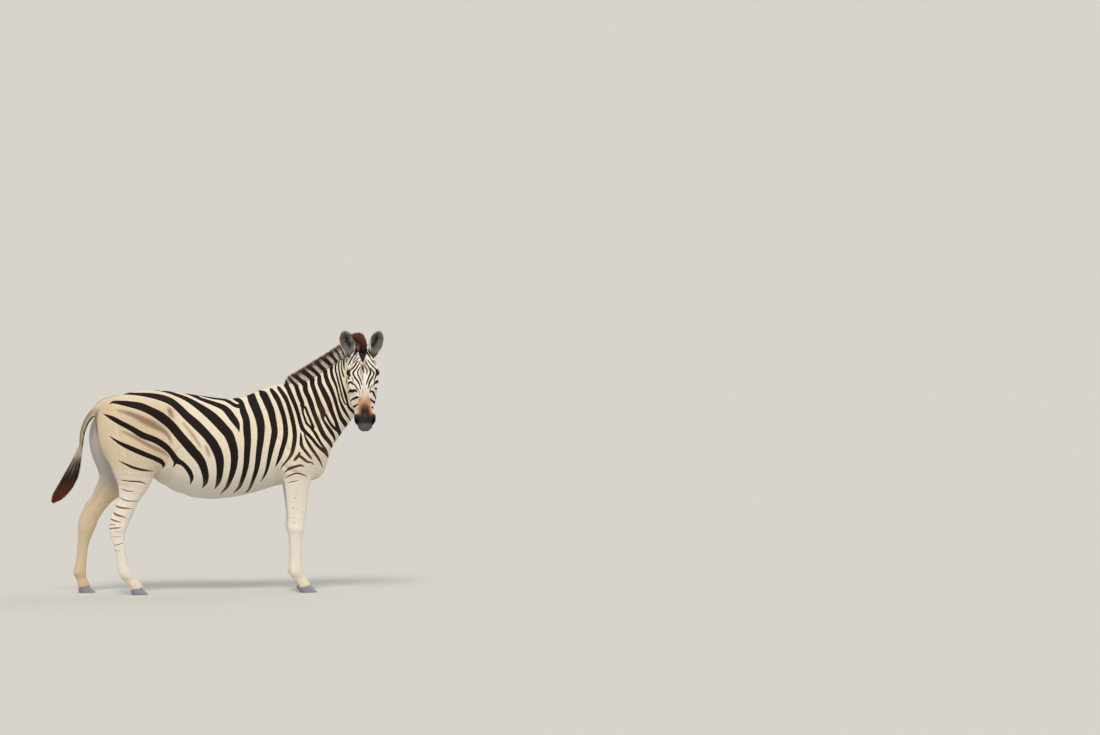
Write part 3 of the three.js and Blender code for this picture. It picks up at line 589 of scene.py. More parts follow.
# ---- markings
# The animal is marked as it is seen from its right: from VIEW_TURN behind square to the body, VIEW_AWAY
# off and VIEW_HEIGHT up. Each stroke is x, height, half width along its middle, in that flat view, and a
# semicolon parts it from the next.
VIEW_TURN, VIEW_AWAY, VIEW_HEIGHT = math.radians(5.5), 20000, 1397
STROKES = {
    "haunch": """
        -600,645,2 -561,631,3.5 -521,629,1.5; -602,699,2 -555,693,4 -510,690,5 -471,685,4 -443,667,1;
        -618,819,1 -571,797,6 -530,778,8.5 -471,762,8 -400,752,1;
        -678,975,1 -611,930,10 -548,899,15 -468,864,16 -400,836,15 -357,815,15 -340,794,11 -343,771,1;
        -713,1112,1 -658,1084,13 -599,1051,16 -537,1018,17 -469,977,20 -399,950,20 -339,915,20
        -297,875,18 -260,822,20 -219,798,14 -182,754,15 -166,710,12 -176,667,1;
        -266,822,14 -270,799,8 -284,774,1
    """,
    "barrel": """
        -674,1170,1 -650,1182,8 -601,1178,14 -540,1168,20 -479,1154,24 -418,1127,25 -356,1091,29
        -295,1040,28 -234,967,28 -164,885,29 -110,818,27 -84,745,22 -81,689,16 -100,647,2;
        -619,1225,1 -580,1235,6 -500,1232,9 -430,1225,15 -360,1211,20 -296,1186,22 -243,1143,23
        -196,1095,25 -140,1045,28 -74,977,27 -24,908,29 6,830,27 8,750,21 -2,688,15 -23,642,2;
        -530,1259,1 -450,1266,5 -380,1261,8 -312,1245,8 -263,1228,10 -201,1203,14 -142,1168,19
        -65,1113,27 -15,1068,30 30,1019,30 68,969,29 97,870,25 92,770,20 59,670,12 29,629,6 5,602,1;
        -270,1253,3 -200,1237,6 -151,1223,11 -111,1202,10 -50,1180,13 18,1154,17 52,1130,21 80,1093,22
        107,1055,20 120,1028,13 128,995,1;
        -140,1231,4 -81,1217,6 -31,1206,7 29,1198,8 67,1183,11 105,1160,12 138,1156,15;
        99,1203,11 120,1195,14 140,1178,15 152,1127,21 171,1070,22 176,1000,24 180,950,22 177,870,20
        167,770,17 136,669,11 114,637,7 88,612,1;
        200,1225,26 215,1180,28 240,1120,27 260,1050,26 262,970,22 250,870,19 236,770,15 203,669,9
        182,631,6 157,615,1;
        268,1238,20 284,1220,24 307,1169,24 326,1120,23 346,1020,20 344,970,20 322,870,15 301,770,10
        281,719,6 260,685,1;
        326,1259,11 353,1220,17 379,1169,16 409,1070,15 415,970,16 389,870,14 371,819,10 350,775,1;
        372,1271,11 408,1219,14 431,1169,13 459,1070,14 473,970,14 456,869,12 425,818,7 396,784,4
        383,760,1
    """,
    "shoulder": """
        430,1269,14 451,1219,14 472,1170,13 490,1120,12 503,1070,12 518,1022,13 532,1002,12 578,955,10
        618,905,10 667,863,11 683,825,1; 506,995,1 511,970,7 513,920,11 526,892,10 566,842,8 579,823,1;
        531,985,4 539,961,6 553,932,9 575,895,10 621,828,8 648,770,1;
        500,872,3 500,855,9 475,825,9 463,812,1;
        498,850,9 523,830,9 549,810,8 565,806,6 580,803,4 596,784,1;
        402,739,1 431,761,7 450,772,9 481,780,8 510,787,7 535,777,1;
        412,708,1 440,723,4 470,735,5 500,736,5 530,727,4 552,713,1; 424,678,1 460,686,3 498,694,1;
        688,808,1 678,791,8 674,778,1
    """,
    "neck": """
        482,1279,13 501,1219,14 520,1170,13 522,1120,7 533,1084,7 547,1048,8 572,1023,8 600,985,10
        620,950,9 643,913,8 668,879,7 680,844,1; 513,1158,8 538,1148,8 549,1119,8 570,1069,8 588,1020,10;
        535,1299,17 541,1249,16 559,1210,15 574,1170,16 590,1119,14 611,1069,15 631,1020,15 654,974,15
        685,935,13 703,904,9 706,885,1;
        582,1325,16 582,1290,15 607,1220,15 625,1169,17 645,1120,19 647,1078,9 669,1039,10 697,998,12
        718,960,8 723,930,1; 655,1110,12 670,1093,9 685,1063,8 702,1037,9 727,1011,9 748,998,11;
        625,1345,12 627,1301,15 648,1254,17 669,1212,18 687,1169,17 703,1120,14 728,1061,11 740,1018,13
        757,975,11 755,955,1;
        660,1380,14 666,1340,14 680,1300,14 699,1261,13 718,1211,11 730,1171,11 742,1131,11 762,1081,13
        788,1042,14 800,1012,3;
        700,1406,11 700,1370,10 710,1330,10 727,1290,8 741,1240,6 753,1191,7 773,1144,10 797,1103,8
        823,1059,2;
        730,1437,9 726,1410,6 726,1380,6 736,1340,6 746,1300,6 756,1260,5 766,1219,6 781,1178,5
        795,1163,4;
        751,1440,4 745,1410,5 749,1370,5 758,1330,6 768,1290,6 780,1251,8 789,1220,9 799,1181,7
        809,1148,8 831,1126,10 842,1106,3; 765,1440,2 762,1410,4 768,1370,5 778,1340,5;
        779,1460,4 777,1420,6 782,1380,2; 797,1340,1 795,1310,5 796,1285,1; 794,1450,3 795,1430,3
    """,
    "mane": """
        429,1269,14 420,1290,16 419,1315,6; 484,1278,16 471,1293,10 448,1317,9 430,1345,4;
        532,1295,18 509,1316,13 484,1337,13 453,1356,9; 580,1325,15 552,1352,15 521,1374,15 491,1392,7;
        623,1347,12 596,1373,11 567,1397,14 540,1413,10; 660,1378,13 633,1403,13 611,1428,15 584,1441,9;
        702,1404,11 682,1427,13 657,1449,14 634,1461,9; 733,1436,9 715,1457,9 692,1482,14 670,1490,8;
        756,1450,5 748,1474,6 735,1495,7 714,1514,6; 781,1471,4 773,1484,5 766,1506,4 753,1527,3
    """,
    "throat": """
        812,1475,5 806,1420,7 808,1360,7 818,1300,7 832,1250,7 846,1200,6 858,1150,2;
        832,1490,5 826,1430,8 828,1370,8 838,1310,8 852,1260,7 866,1200,3;
        852,1500,5 848,1440,8 850,1380,9 860,1320,8 874,1270,6 886,1220,2;
        872,1505,5 870,1450,8 873,1390,9 884,1330,7 896,1280,2;
        892,1505,5 893,1450,7 897,1390,7 906,1335,3
    """,
    "face": """
        893,1522,34 895,1502,30 897,1482,19 897,1463,13 896,1446,7.6 895.5,1431,1.6;
        862,1524,14 860,1510,12 856,1498,10 845,1482,7.6 836,1466,3.6;
        918,1492,9.6 928,1481,5.6 936,1468,4.6 943,1457,3.1 950,1448,1.6;
        941,1484,3.6 955,1471,5.1 965,1464,5.1 973,1455,4.6 982,1444,3.6;
        836,1470,3.6 829,1456,5.1 825,1449,5.1 820,1440,4.6 814,1429,4.6 810.5,1421,4.1 806,1415,3.1;
        861,1481,3.6 857,1471,3.6 851,1460,4.1 845.5,1452,4.1 839,1443,3.6 834,1434,2.6;
        873,1459,3.1 865,1453,3.6 858,1446,3.4 851,1439,3.2 843,1431,3.2 834,1424,3 825,1417,2
        816,1411,1.4;
        868,1438,2.6 863.5,1433,3.6 857.5,1426,4.4 851,1415.5,5.1 844,1405,5.6 836,1396,5.6 828,1389,5.3
        820.5,1382.5,5.3 814,1375,6.1 809,1366,8.6 802,1358,9.6;
        882,1441,2.1 878,1432,3.6 873.5,1422,3.6 867.5,1411,4.4 863.5,1403,4.6 857.5,1394.5,4.6
        851,1385.5,5.1 845,1379,5.6 839.5,1372,5.9 836,1364.5,6.1 836,1357,5.9 839.5,1348.5,5.6
        844,1339,5.6 851,1329,5.9 859,1319,5.9 866.5,1308.5,5.6 871.5,1299,5.1 875,1291,4.4 878,1279,3.6
        882.5,1266,3.1 884,1258,1.6;
        880,1401,2.6 873,1389,3.8 868.5,1381,4.1 865.5,1372,4.4 864.8,1364,4.6 866,1354,4.6
        870,1343.5,4.6 876,1331.5,4.6 881,1320,4.6 885,1307.5,4.1 888.5,1295,3.6 890.5,1283,2.1;
        897.5,1411,3.6 896,1402,5.6 896.5,1390,5.8 899,1381,4.8 901.5,1370,3.6 902.5,1360,1.6;
        911.5,1409,1.8 914.5,1399,4.1 918,1391,4.6 921.5,1382,4.8 922.3,1372,4.6 921.3,1362,3.8
        919.5,1353,1.6;
        912.5,1440,2.1 915.5,1431,4.1 919.5,1422,4.9 924,1414.5,4.9 929,1407.5,4.2 934.5,1398.5,4
        940,1389,4.8 943,1379,5.6 944.3,1369,6.1 943,1359,6.1 939.5,1349.5,5.9 935,1339.5,5.6
        931,1329,5.1 927.5,1319,4.8 923.5,1309,4.6 920,1298.5,4 917,1288,2.1;
        944,1397,1.8 950,1387,3.6 955.5,1379.5,4.4 961,1372,5.1 965,1364,5.6 964.5,1356,5.4 961,1347,4.6
        957.5,1338,5.6 952,1328.5,6.1 946,1319,6.2 941,1310,6.2 937,1300.5,5.9 935,1291,5.3
        933.5,1280,4.6 930,1268,2.6;
        927,1445,1.6 931,1438.5,3.1 937,1430,3.8 944,1420.5,4.3 951,1413,4.6 958,1404.5,4.8
        965.5,1397.5,4.8 973,1391,4.6 979,1383.5,5.6 983,1373,7.1 984,1362,7.6;
        981,1356,5.6 979,1348,5.6 975,1337,4.6 971.5,1328,4.2 969,1317.5,3.6 967.5,1304,2.1;
        954,1289,2.1 954.5,1284,3.6 952,1279,1.6;
        948,1280,2.1 946,1274,3.6 943.5,1267,2.6 941,1254,3.6 940.5,1243,2.1;
        800,1369,4 806,1362,7.6 811,1353,8.4 816,1345,6.4;
        808,1341,3.6 806,1334,4.6 810,1328,4.6 815,1325,2.6;
        987,1385,2.6 990,1374,4.6 988,1361,5 983,1348,4.6;
        941,1459,2 947,1449,3.4 953,1440,3.8 959,1431,3.4 965.5,1423,2.8 973,1414,2.4 980,1405,1.4;
        964,1442,1.8 971,1434,3 978,1426,3.4 985,1416,2.8 989,1405,1.6
    """,
    "cheek": """
        780,1281,7 796,1290,7 805,1296,6.5 815,1304,6.5 822.5,1305,6.5 829,1297.5,5.8 834,1293.5,5
        840,1293.5,4.2 845.5,1289,4.5 850.5,1282,4.7 855.5,1273.5,4.7 861,1265.5,4.4 866,1259,3.8
        872,1252,2.5;
        780,1249,6 800,1253,7 814,1255,8 823,1251,9.8 833,1249.5,9.5 841,1254,8.5 848.5,1253.5,8.5
        855,1248.5,6.5 861,1242,3;
        780,1176,6 802,1184,6 816,1190,5.5 825,1195,6 833,1200,6.8 842,1203,7 850,1207.5,7.3 858,1210,8.6
        865,1210,7;
        790,1118,5 815,1133,5 832,1146,5 839,1157,4.5 845,1153.5,6.5 851,1158.5,6 858,1162.5,5.3
        865,1168.5,3.5;
        964,1279,3 966,1288,4 969.5,1296,5.5 976,1302.5,8 983,1306,9.5 992,1310,10 1020,1302,9;
        971,1267.5,4 978,1265.5,7 984,1260,8 990,1251,7 1020,1240,6;
        942.5,1239,3 946,1245.5,5.5 953.5,1248.5,6.5 959.5,1243,7 964.5,1233.5,7 969.5,1223,7
        974.5,1213.5,6 979.5,1204.5,5 1010,1186,5;
        946,1201,5 950,1193,7 958,1186,8 968,1181,8.5 982,1170,7 1015,1148,5;
        950,1149,3 955,1147,5 963,1146,6.5 975,1139,5 1000,1120,4
    """,
    "veil": """
        867,1446,1 861,1439,2.2 853,1431,2.2 846,1424,1.5 836,1412,1.5 822,1399,1.5 806,1390,1.5;
        884,1421,2 883.5,1411,3 887,1400,2.6 885.5,1386,2.8 884,1370,2.8 883,1356,2.2 882,1346,1;
        890,1423,1.5 889.5,1404,1.5 890,1388,1; 896.5,1352,1.5 895.5,1340,2.8 895.5,1326,2.8 896,1310,1.5;
        896,1270,1 896,1256,2.5 896.5,1242,2.6 898,1229,1; 904,1424,2.5 903,1414,2 905,1402,1.5;
        913,1424,2 914,1412,2 910,1400,1; 928,1402,1.5 931,1392,2 933,1380,1.5;
        928,1278,1 927,1268,1.8 926,1256,1; 900,1300,1 902,1288,1.6 902,1276,1;
        912,1282,1 913,1270,1.6 912,1258,1; 957,1448,1.5 962,1438,2 968,1428,1.5;
        829,1334,3.5 832.5,1325,4.5 834,1312,4.5 836,1303,3; 874,1252,2 876,1240,2.5 876,1226,1;
        960,1276,1 959,1270,2 956,1262,1
    """,
    "haze": """
        905,1448,9 902,1428,13 896,1402,15 892,1376,13 892,1350,8 893,1325,4; 914,1450,6 925,1435,3
    """,
    "shadow": """
        -620,1132,4 -560,1115,12 -500,1091,17 -460,1070,21 -420,1052,22 -388,1034,20 -350,1012,16
        -322,988,12 -300,958,9 -288,930,3;
        -590,1002,3 -540,976,9 -500,956,11 -450,926,11 -400,900,12 -360,881,11 -330,864,8 -305,840,3;
        -305,1138,10 -296,1112,12 -280,1090,6; -216,1052,4 -178,1004,7 -140,950,7 -112,905,5;
        -78,908,6 -66,880,8 -58,850,5
    """,
    "hock": """
        -619,596,1.6 -581,576,3.8 -550,569,3.8 -500,568,1.6;
        -635,545,3.8 -619,532,6.5 -580,525,5.6 -530,521,1.6;
        -650,500,3.8 -631,485,7.5 -601,475,5.6 -571,465,1.6; -666,459,3.8 -640,447,5.6 -600,437,1.6;
        -665,425,3.8 -635,421,1.6; -670,399,3.8 -630,402,4.7 -600,404,1.6; -640,380,1.6 -600,376,1.6;
        -655,348,1.6 -600,347,1.6; 461,585,1.2 479,583,2; 457,523,1.6 470,521,2.6; 481,517,1.4 492,515,2;
        457,461,1.4 472,459,2.4; 463,430,1.4 476,428,2.2; -645,296,1.8 -620,298,2.9 -590,311,1.6;
        -635,263,1.6 -610,259,1.6
    """,
}


def side_view(p):
    """Where points show in the flat view that the strokes are given in."""
    c, s = math.cos(VIEW_TURN), math.sin(VIEW_TURN)
    near = 1 + (p[:, 0] * s + p[:, 1] * c) / VIEW_AWAY
    across = (p[:, 0] * c - p[:, 1] * s) / near
    return np.stack([across, VIEW_HEIGHT + (p[:, 2] - VIEW_HEIGHT) / near], 1)


STROKE_SETS = {name: [Stroke(line) for line in text.split(";")] for name, text in STROKES.items()}
HEAD_STROKES = STROKE_SETS["face"] + STROKE_SETS["cheek"]
BODY_STROKES = sum((STROKE_SETS[name] for name in (
    "haunch", "barrel", "shoulder", "neck", "throat", "mane", "hock")), [])
# Soft brown shading between the dark strokes: its colour, how far its edge fades, and how strong it is.
FAINT = {"haze": ("9c7f69", 9, 0.6), "veil": ("6b4c39", 2, 0.8), "shadow": ("8a6442", 11, 0.75)}
REACH = 30  # how far from a stroke it is still measured
PLAIN = -REACH


def strongest(strokes, q):
    """The two best values of half width less distance at each point, and whose the best is."""
    best, second = np.full(len(q), float(PLAIN)), np.full(len(q), float(PLAIN))
    whose = np.full(len(q), -1)
    for i, stroke in enumerate(strokes):
        near = stroke.near(q, REACH)
        if not len(near):
            continue
        across, half = stroke.measure(q[near])
        value = half - np.abs(across)
        over = value > best[near]
        second[near] = np.where(over, best[near], np.maximum(second[near], value))
        best[near] = np.where(over, value, best[near])
        whose[near[over]] = i
    return best, second, whose


def across_body(p):
    """How far points are to the left of the animal's middle, and the way left there."""
    out = np.tile(LEFT.astype(float), (len(p), 1))
    u = p[:, 1].copy()
    ahead = np.flatnonzero(p[:, 0] > NECK_SWEEP.at[0, 0])
    q = p[ahead]
    gap = lengths(q[:, None] - NECK_SWEEP.at[None])
    gap -= gap.min(1, keepdims=True)
    share = np.exp(-np.square(gap / 45) - gap / 30)
    share /= share.sum(1, keepdims=True)
    blend = ramp(q[:, 0], NECK_SWEEP.at[0, 0], 560)[:, None]
    side = unit(share @ NECK_SWEEP.side * blend + LEFT * (1 - blend))
    base = share @ NECK_SWEEP.at * blend
    out[ahead] = side
    u[ahead] = np.einsum("ij,ij->i", q - base, side)
    return u, out


def mirrored_place(p, u, out):
    """The place on the animal's right that answers to points on its left."""
    q = p - 2 * u[:, None] * out
    q[:, 0] += hind_lead(p[:, 0], p[:, 2])
    # the two sides are never quite alike
    drift = ramp(u, 30, 150)
    q[:, 0] += drift * (7 * np.sin(p[:, 2] / 83 + 1.3) + 5 * np.sin(p[:, 0] / 61))
    q[:, 2] += drift * 6 * np.sin(p[:, 0] / 97 + 0.4)
    return q


CHEEK_SLOPE, CHEEK_TURN = 0.42, 105  # how steeply the cheek's bars fall behind its widest part


def head_side(p):
    """How far places are on the head's side of where head and neck meet, in millimetres or so."""
    down = in_head(p)[:, 1]
    side = np.where(down > HEAD_TOP, -behind_head(p), -100.0)
    near = np.flatnonzero((down > 50) & (lengths(p - on_head((0, 250, -120))) < 330))
    if len(near):
        far = np.full(len(near), 400.0)
        skull = np.min([sweep.distance(p[near], far) for sweep in HEAD_SWEEPS], axis=0)
        joined = NECK_SWEEP.distance(p[near], far) - 3 - skull - 80 * (1 - ramp(down[near], 50, 110))
        side[near] = np.maximum(side[near], joined)
    return side


def face_of(p):
    """Which points are on the head, and which on the body's left."""
    return head_side(p) > 0, across_body(p)[0] > 0


def unmarked(p, normal):
    """What strokes lose of their half width: all on the legs' inner sides, some where head and neck meet."""
    return 40 * inner_leg(p, normal) + 9 * (1 - ramp(np.abs(head_side(p)), 1, 12))


def flat_place(p, whole_head, left):
    """Points in the flat view of the strokes; left says which are on the body's left side."""
    q = p.copy()
    turn = np.flatnonzero(left & ~whole_head)
    if len(turn):
        u, out = across_body(p[turn])
        q[turn] = mirrored_place(p[turn], np.maximum(u, 0), out)
    flat = side_view(q)
    head = np.flatnonzero(whole_head)
    flat[head, 1] += CHEEK_SLOPE * np.maximum(-in_head(p[head])[:, 2] - CHEEK_TURN, 0)
    return flat


def from_hex(text):
    return [int(text[i:i + 2], 16) / 255 for i in (0, 2, 4)]


def linear(colour):
    """An sRGB colour, a hex text or a property, as linear values."""
    c = np.array(from_hex(colour) if isinstance(colour, str) else colour[:3])
    return np.where(c <= 0.04045, c / 12.92, ((c + 0.055) / 1.055) ** 2.4)


def tones(coat, *names):
    """The coat's named colours."""
    return [linear(getattr(coat, name)) for name in names]


# ---- building meshes
def new_mesh(name, points, faces):
    made = bpy.data.meshes.new(name)
    made.from_pydata(points, [], faces)
    made.validate()
    return made


def place(name, made, materials, replaced=()):
    """Puts a finished mesh into the scene as a piece of the animal."""
    piece = bpy.data.objects.new(name, made)
    bpy.context.scene.collection.objects.link(piece)
    for finish in materials:
        made.materials.append(finish)
    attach(piece, "root")
    if replaced:
        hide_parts(*replaced)


def write_attribute(made, name, values, domain="POINT", colour=True):
    """Numbers, colours or directions for a mesh's points or corners."""
    values = np.asarray(values, np.float32)
    kind, key = ("FLOAT_COLOR", "color") if colour else ("FLOAT_VECTOR", "vector")
    if values.ndim == 1:
        kind, key = "FLOAT", "value"
    elif colour:
        values = np.concatenate([values, np.ones((len(values), 1), np.float32)], 1)
    made.attributes.new(name, kind, domain).data.foreach_set(key, values.ravel())


def read(items, key, width=1, kind=float):
    """One property of a mesh's vertices, edges, corners or faces, a row for each."""
    values = np.empty(len(items) * width, kind)
    items.foreach_get(key, values)
    return values.reshape(-1, width) if width > 1 else values


def read_points(made):
    return read(made.vertices, "co", 3)


def read_normals(made):
    return read(made.vertices, "normal", 3)


def write_points(made, points):
    made.vertices.foreach_set("co", np.asarray(points, np.float32).ravel())
    made.update()


def refine(made, chosen):
    """Splits the faces whose corners are all chosen, and keeps every face to four corners."""
    bm = bmesh.new()
    bm.from_mesh(made)
    edges = {edge for face in bm.faces if all(chosen[v.index] for v in face.verts) for edge in face.edges}
    bmesh.ops.subdivide_edges(bm, edges=list(edges), cuts=1, use_grid_fill=True)
    bmesh.ops.triangulate(bm, faces=[face for face in bm.faces if len(face.verts) > 4])
    bm.to_mesh(made)
    bm.free()
    made.update()


def smooth_on_to(made, field, rounds):
    """Evens a mesh along the field's surface and sets it on it."""
    edges = read(made.edges, "vertices", 2, int)
    for i in range(rounds):
        normal, points = read_normals(made), read_points(made)
        if i < rounds - 1:
            points = relax(points, edges, normal)
        write_points(made, settle(points, normal, field))


def make_skin(cell):
    """One mesh over the flesh, in the animal's frame in millimetres, finer at the head and the face."""
    points, quads = lattice_skin(cell)
    made = new_mesh("skin", points, quads)
    smooth_on_to(made, lambda p: fine_flesh(p, False), 3)
    across, down, face = one_side(in_head(read_points(made))).T
    refine(made, (down > -30) & (across < 150) & (face > -260) & (down < 560))
    smooth_on_to(made, fine_flesh, 2)
    h = one_side(in_head(read_points(made)))
    mouth = (np.abs(h[:, 2] - MOUTH_LINE) < 18) & (h[:, 1] > 415)
    refine(made, (lengths(h - EYE_AT) < 46) | (lengths(h - NOSTRIL_AT) < 40) | mouth)
    smooth_on_to(made, fine_flesh, 5)
    return made


# ---- the colours of each place
def inner_leg(p, normal):
    """How much a place is on the inner side of a leg, where there are no bars."""
    out = np.sign(p[:, 1]) * normal[:, 1]
    return ramp(-out, -0.25, 0.25) * (1 - ramp(p[:, 2], 700, 800))


def mix(a, b, t):
    return a + (b - a) * np.asarray(t)[:, None]


# Half width of the dark skin up the nose, at each distance down the face; below MUZZLE_TOP no stroke shows.
MUZZLE_TOP = 470
MUZZLE_WEDGE = [(385, 0), (400, 10), (412, 20), (446, 27), (470, 31), (488, 40), (505, 56), (520, 90)]


def coat_colours(p, normal, coat, flat):
    """The pale and the dark colour of the coat at each place."""
    cream, white, buff, tan, dark, brown, skin = tones(
        coat, "cream", "white", "buff", "tan", "dark", "brown", "muzzle")
    n = len(p)
    x, y, z = p.T
    ground, deep = np.tile(cream, (n, 1)), np.tile(dark, (n, 1))

    def lay(colour, share):
        ground[:] = mix(ground, colour, share)

    lay(white, (1 - ramp(z, 620, 980)) * 0.8)
    rump = ramp(-x, 150, 420) * ramp(z, 560, 900)
    lay(buff, rump * 0.8 * (1 - 0.5 * ramp(z, 1120, 1240)))
    lay(tan, 0.2 * bump(x + 700, 70) * ramp(z, 1080, 1160))
    # painted shade: the coat is greyer where it faces down, under the belly and chest
    lay(white * 0.72, ramp(-normal[:, 2], 0.3, 0.9) * ramp(z, 480, 560) * 0.6)
    inside = inner_leg(p, normal)
    # painted shade: the inner sides of the legs above the hocks and knees are a cool grey
    lay(white * (0.56, 0.55, 0.58), inside * ramp(z, 480, 640) * 0.85)
    far_leg = ramp(y, 20, 80) * (1 - ramp(z, 600, 740)) * ramp(-x, 300, 400)
    lay(linear("cfba98"), far_leg * (0.25 + 0.6 * inside))
    # under the tail: the bare dark skin, with painted shade in the cleft between the buttocks
    seat = ramp(-x, 560, 640) * ramp(z, 760, 860) * (1 - ramp(z, 1110, 1170))
    lay(skin * 0.8, seat * (1 - ramp(np.abs(y), 6, 52)) * ramp(-normal[:, 0], -0.2, 0.3) * 0.6)
    # the bare underside of the tail's dock, dark, with painted shade in the gap between tail and buttocks
    dock = ramp(-x, 712, 735) * (np.abs(y - 6) < 34) * ramp(z, 850, 930) * (1 - ramp(z, 1120, 1165))
    lay(dark * 1.5, dock * ramp(normal[:, 0], 0.15, 0.5) * 0.9)
    # the dark line along the spine
    spine = bump(y, 8) * ramp(normal[:, 2], 0.4, 0.7) * ramp(x, -780, -730) * (1 - ramp(x, 300, 360))
    lay(dark * 1.3, spine * ramp(z, 1000, 1100) * 0.95)
    # the haunches' sides that face each other: thin grey hair, with painted bluish shade between them
    facing = ramp(-normal[:, 1] * np.sign(y), -0.35, 0.3) * ramp(np.abs(y), 0, 50) * ramp(-x, 470, 560)
    lay(white * (0.6, 0.61, 0.66), facing * ramp(z, 680, 770) * (1 - ramp(z, 1040, 1130)) * 0.85)
    callus = np.hypot((x - 478) / 11, (z - 478) / 24)
    lay(skin * 1.3, inside * (1 - ramp(callus, 0.8, 1.2)))
    lay(tan * 1.1, (1 - ramp(z, 60, 200)) * 0.22)
    ahead, up = flat.T
    deep = mix(deep, brown, 0.35 * bump(np.hypot(ahead - 640, (up - 1095) * 0.5), 42))
    thigh = (1 - ramp(up, 690, 850)) * ramp(-ahead, 300, 420)
    shoulder = (1 - ramp(up, 800, 960)) * ramp(ahead, 380, 460)
    deep = mix(deep, brown, np.maximum(thigh, shoulder) * 0.8)
    deep = mix(deep, tan * 0.62, (1 - ramp(up, 560, 730)) * 0.75)
    # the head: a paler ground, a warm nose, and bare dark skin round the mouth and nostrils
    h = one_side(in_head(p))
    side, down, face = h.T
    head = (behind_head(p) < 0) & (down > HEAD_TOP)
    ground[head] = cream + (white * 1.06 - cream) * 0.6
    deep[head] += (dark * 1.1 - deep[head]) * 0.8
    wedge = np.interp(down, *np.array(MUZZLE_WEDGE).T)
    bridge = ramp(down, 262, 352) * (1 - ramp(side, 24, 46))
    flank = bump(side - np.maximum(wedge, 16) - 12, 13) * ramp(down, 325, 375) * (1 - ramp(down, 462, 492))
    lay(tan, head * np.clip(bridge * 0.55 + flank * (face > -80) * 0.95, 0, 1))
    edge = ramp(down, 335, 410) * (1 - ramp(side - wedge, 2, 22)) * ramp(face, -120, -60)
    lay(tan * (0.55, 0.4, 0.36), head * edge)
    bare = np.maximum(1 - ramp(side - wedge, -9, 7), ramp(down + 0.5 * side, 472, 500)) * ramp(down, 380, 442)
    bare = head * np.maximum(bare, ramp(down - 0.4 * (face + 100), 458, 484))
    lay(skin, bare)
    # painted highlight: a paler patch on the middle of the bare muzzle
    lay(skin * 2.3 + 0.01, bare * bump(side, 10) * bump(down - 481, 12) * 0.9)
    lay(skin * 2.0 + 0.01, bare * ramp(-face, 104, 128) * 0.8)
    lay(linear("716b69"), bare * (1 - ramp(up, 1022, 1064)) * 0.75)
    # in and round the nostrils: darker skin, with painted shade in their openings
    nostril = lengths((h - NOSTRIL_AT) / [22, 30, 30])
    lay(skin * 0.35, bare * (1 - ramp(nostril, 0.5, 1.15)))
    # round each eye: the dark lids, with painted shade where they meet the eyeball
    lay(skin * 0.5, head * (1 - ramp(lengths(h - EYE_AT), 24.5, 29)))
    for name, (colour, fade, strength) in FAINT.items():
        value = strongest(STROKE_SETS[name], flat)[0]
        where = head if name != "shadow" else ~head
        lay(linear(colour), where * strength * ramp(value, -fade, fade))
    return ground, deep


def marking_attributes(p, normal, coat):
    """What a coat material reads, for places one by one: a tuft's own marking is that at its root."""
    whole_head, left = face_of(p)
    flat = flat_place(p, whole_head, left)
    ground, deep = coat_colours(p, normal, coat, flat)
    half = np.full(len(p), float(PLAIN))
    for strokes, at in ((BODY_STROKES, ~whole_head), (HEAD_STROKES, whole_head)):
        half[at] = strongest(strokes, flat[at])[0]
    half -= unmarked(p, normal)
    half[whole_head & (in_head(p)[:, 1] > MUZZLE_TOP)] = PLAIN
    return {"half": half, "ground": ground, "dark": deep}


def mark_faces(made, coat):
    """Writes the markings on the skin, by corner, so that an edge is sharp within a face."""
    points, normals = read_points(made), read_normals(made)
    corner_vertex = read(made.loops, "vertex_index", kind=int)
    owner = np.repeat(np.arange(len(made.polygons)), read(made.polygons, "loop_total", kind=int))
    centre = read(made.polygons, "center", 3)
    whole_head, left = face_of(centre)
    across = np.zeros(len(owner))
    half, other = np.full((2, len(owner)), float(PLAIN))
    flat = flat_place(points[corner_vertex], whole_head[owner], left[owner])
    flat_centre = flat_place(centre, whole_head, left)
    for strokes, faces in ((BODY_STROKES, ~whole_head), (HEAD_STROKES, whole_head)):
        whose = np.full(len(faces), -1)
        whose[faces] = strongest(strokes, flat_centre[faces])[2]
        corners = np.flatnonzero(faces[owner])
        best, second, best_whose = strongest(strokes, flat[corners])
        other[corners] = np.where(best_whose == whose[owner[corners]], second, best)
        for i, stroke in enumerate(strokes):
            mine = np.flatnonzero(whose[owner] == i)
            if len(mine):
                across[mine], half[mine] = stroke.measure(flat[mine])
    fade = unmarked(points, normals)[corner_vertex]
    half -= fade
    other -= fade
    muzzle = whole_head[owner] & (in_head(points[corner_vertex])[:, 1] > MUZZLE_TOP)
    half[muzzle] = other[muzzle] = PLAIN
    ground, deep = coat_colours(points, normals, coat, flat_place(points, *face_of(points)))
    for name, values in (("across", across), ("half", half), ("other", other)):
        write_attribute(made, name, values, "CORNER")
    write_attribute(made, "ground", ground)
    write_attribute(made, "dark", deep)


# ---- materials
def add_node(tree, kind, inputs=None, **settings):
    """Adds a node: settings are its own properties, inputs are values or the sockets they come from."""
    made = tree.nodes.new(kind)
    for key, value in settings.items():
        setattr(made, key, value)
    for key, value in (inputs or {}).items():
        if isinstance(value, bpy.types.NodeSocket):
            tree.links.new(value, made.inputs[key])
        else:
            made.inputs[key].default_value = value
    return made


def material(name, roughness, **constants):
    """A new material whose shader, its first node, has the given constants on its own sockets."""
    made = bpy.data.materials.new(name)
    made.use_nodes = True
    tree = made.node_tree
    tree.nodes.clear()
    shader = add_node(tree, "ShaderNodeBsdfPrincipled", {"Roughness": roughness, **constants})
    add_node(tree, "ShaderNodeOutputMaterial", {"Surface": shader.outputs[0]})
    return made, tree


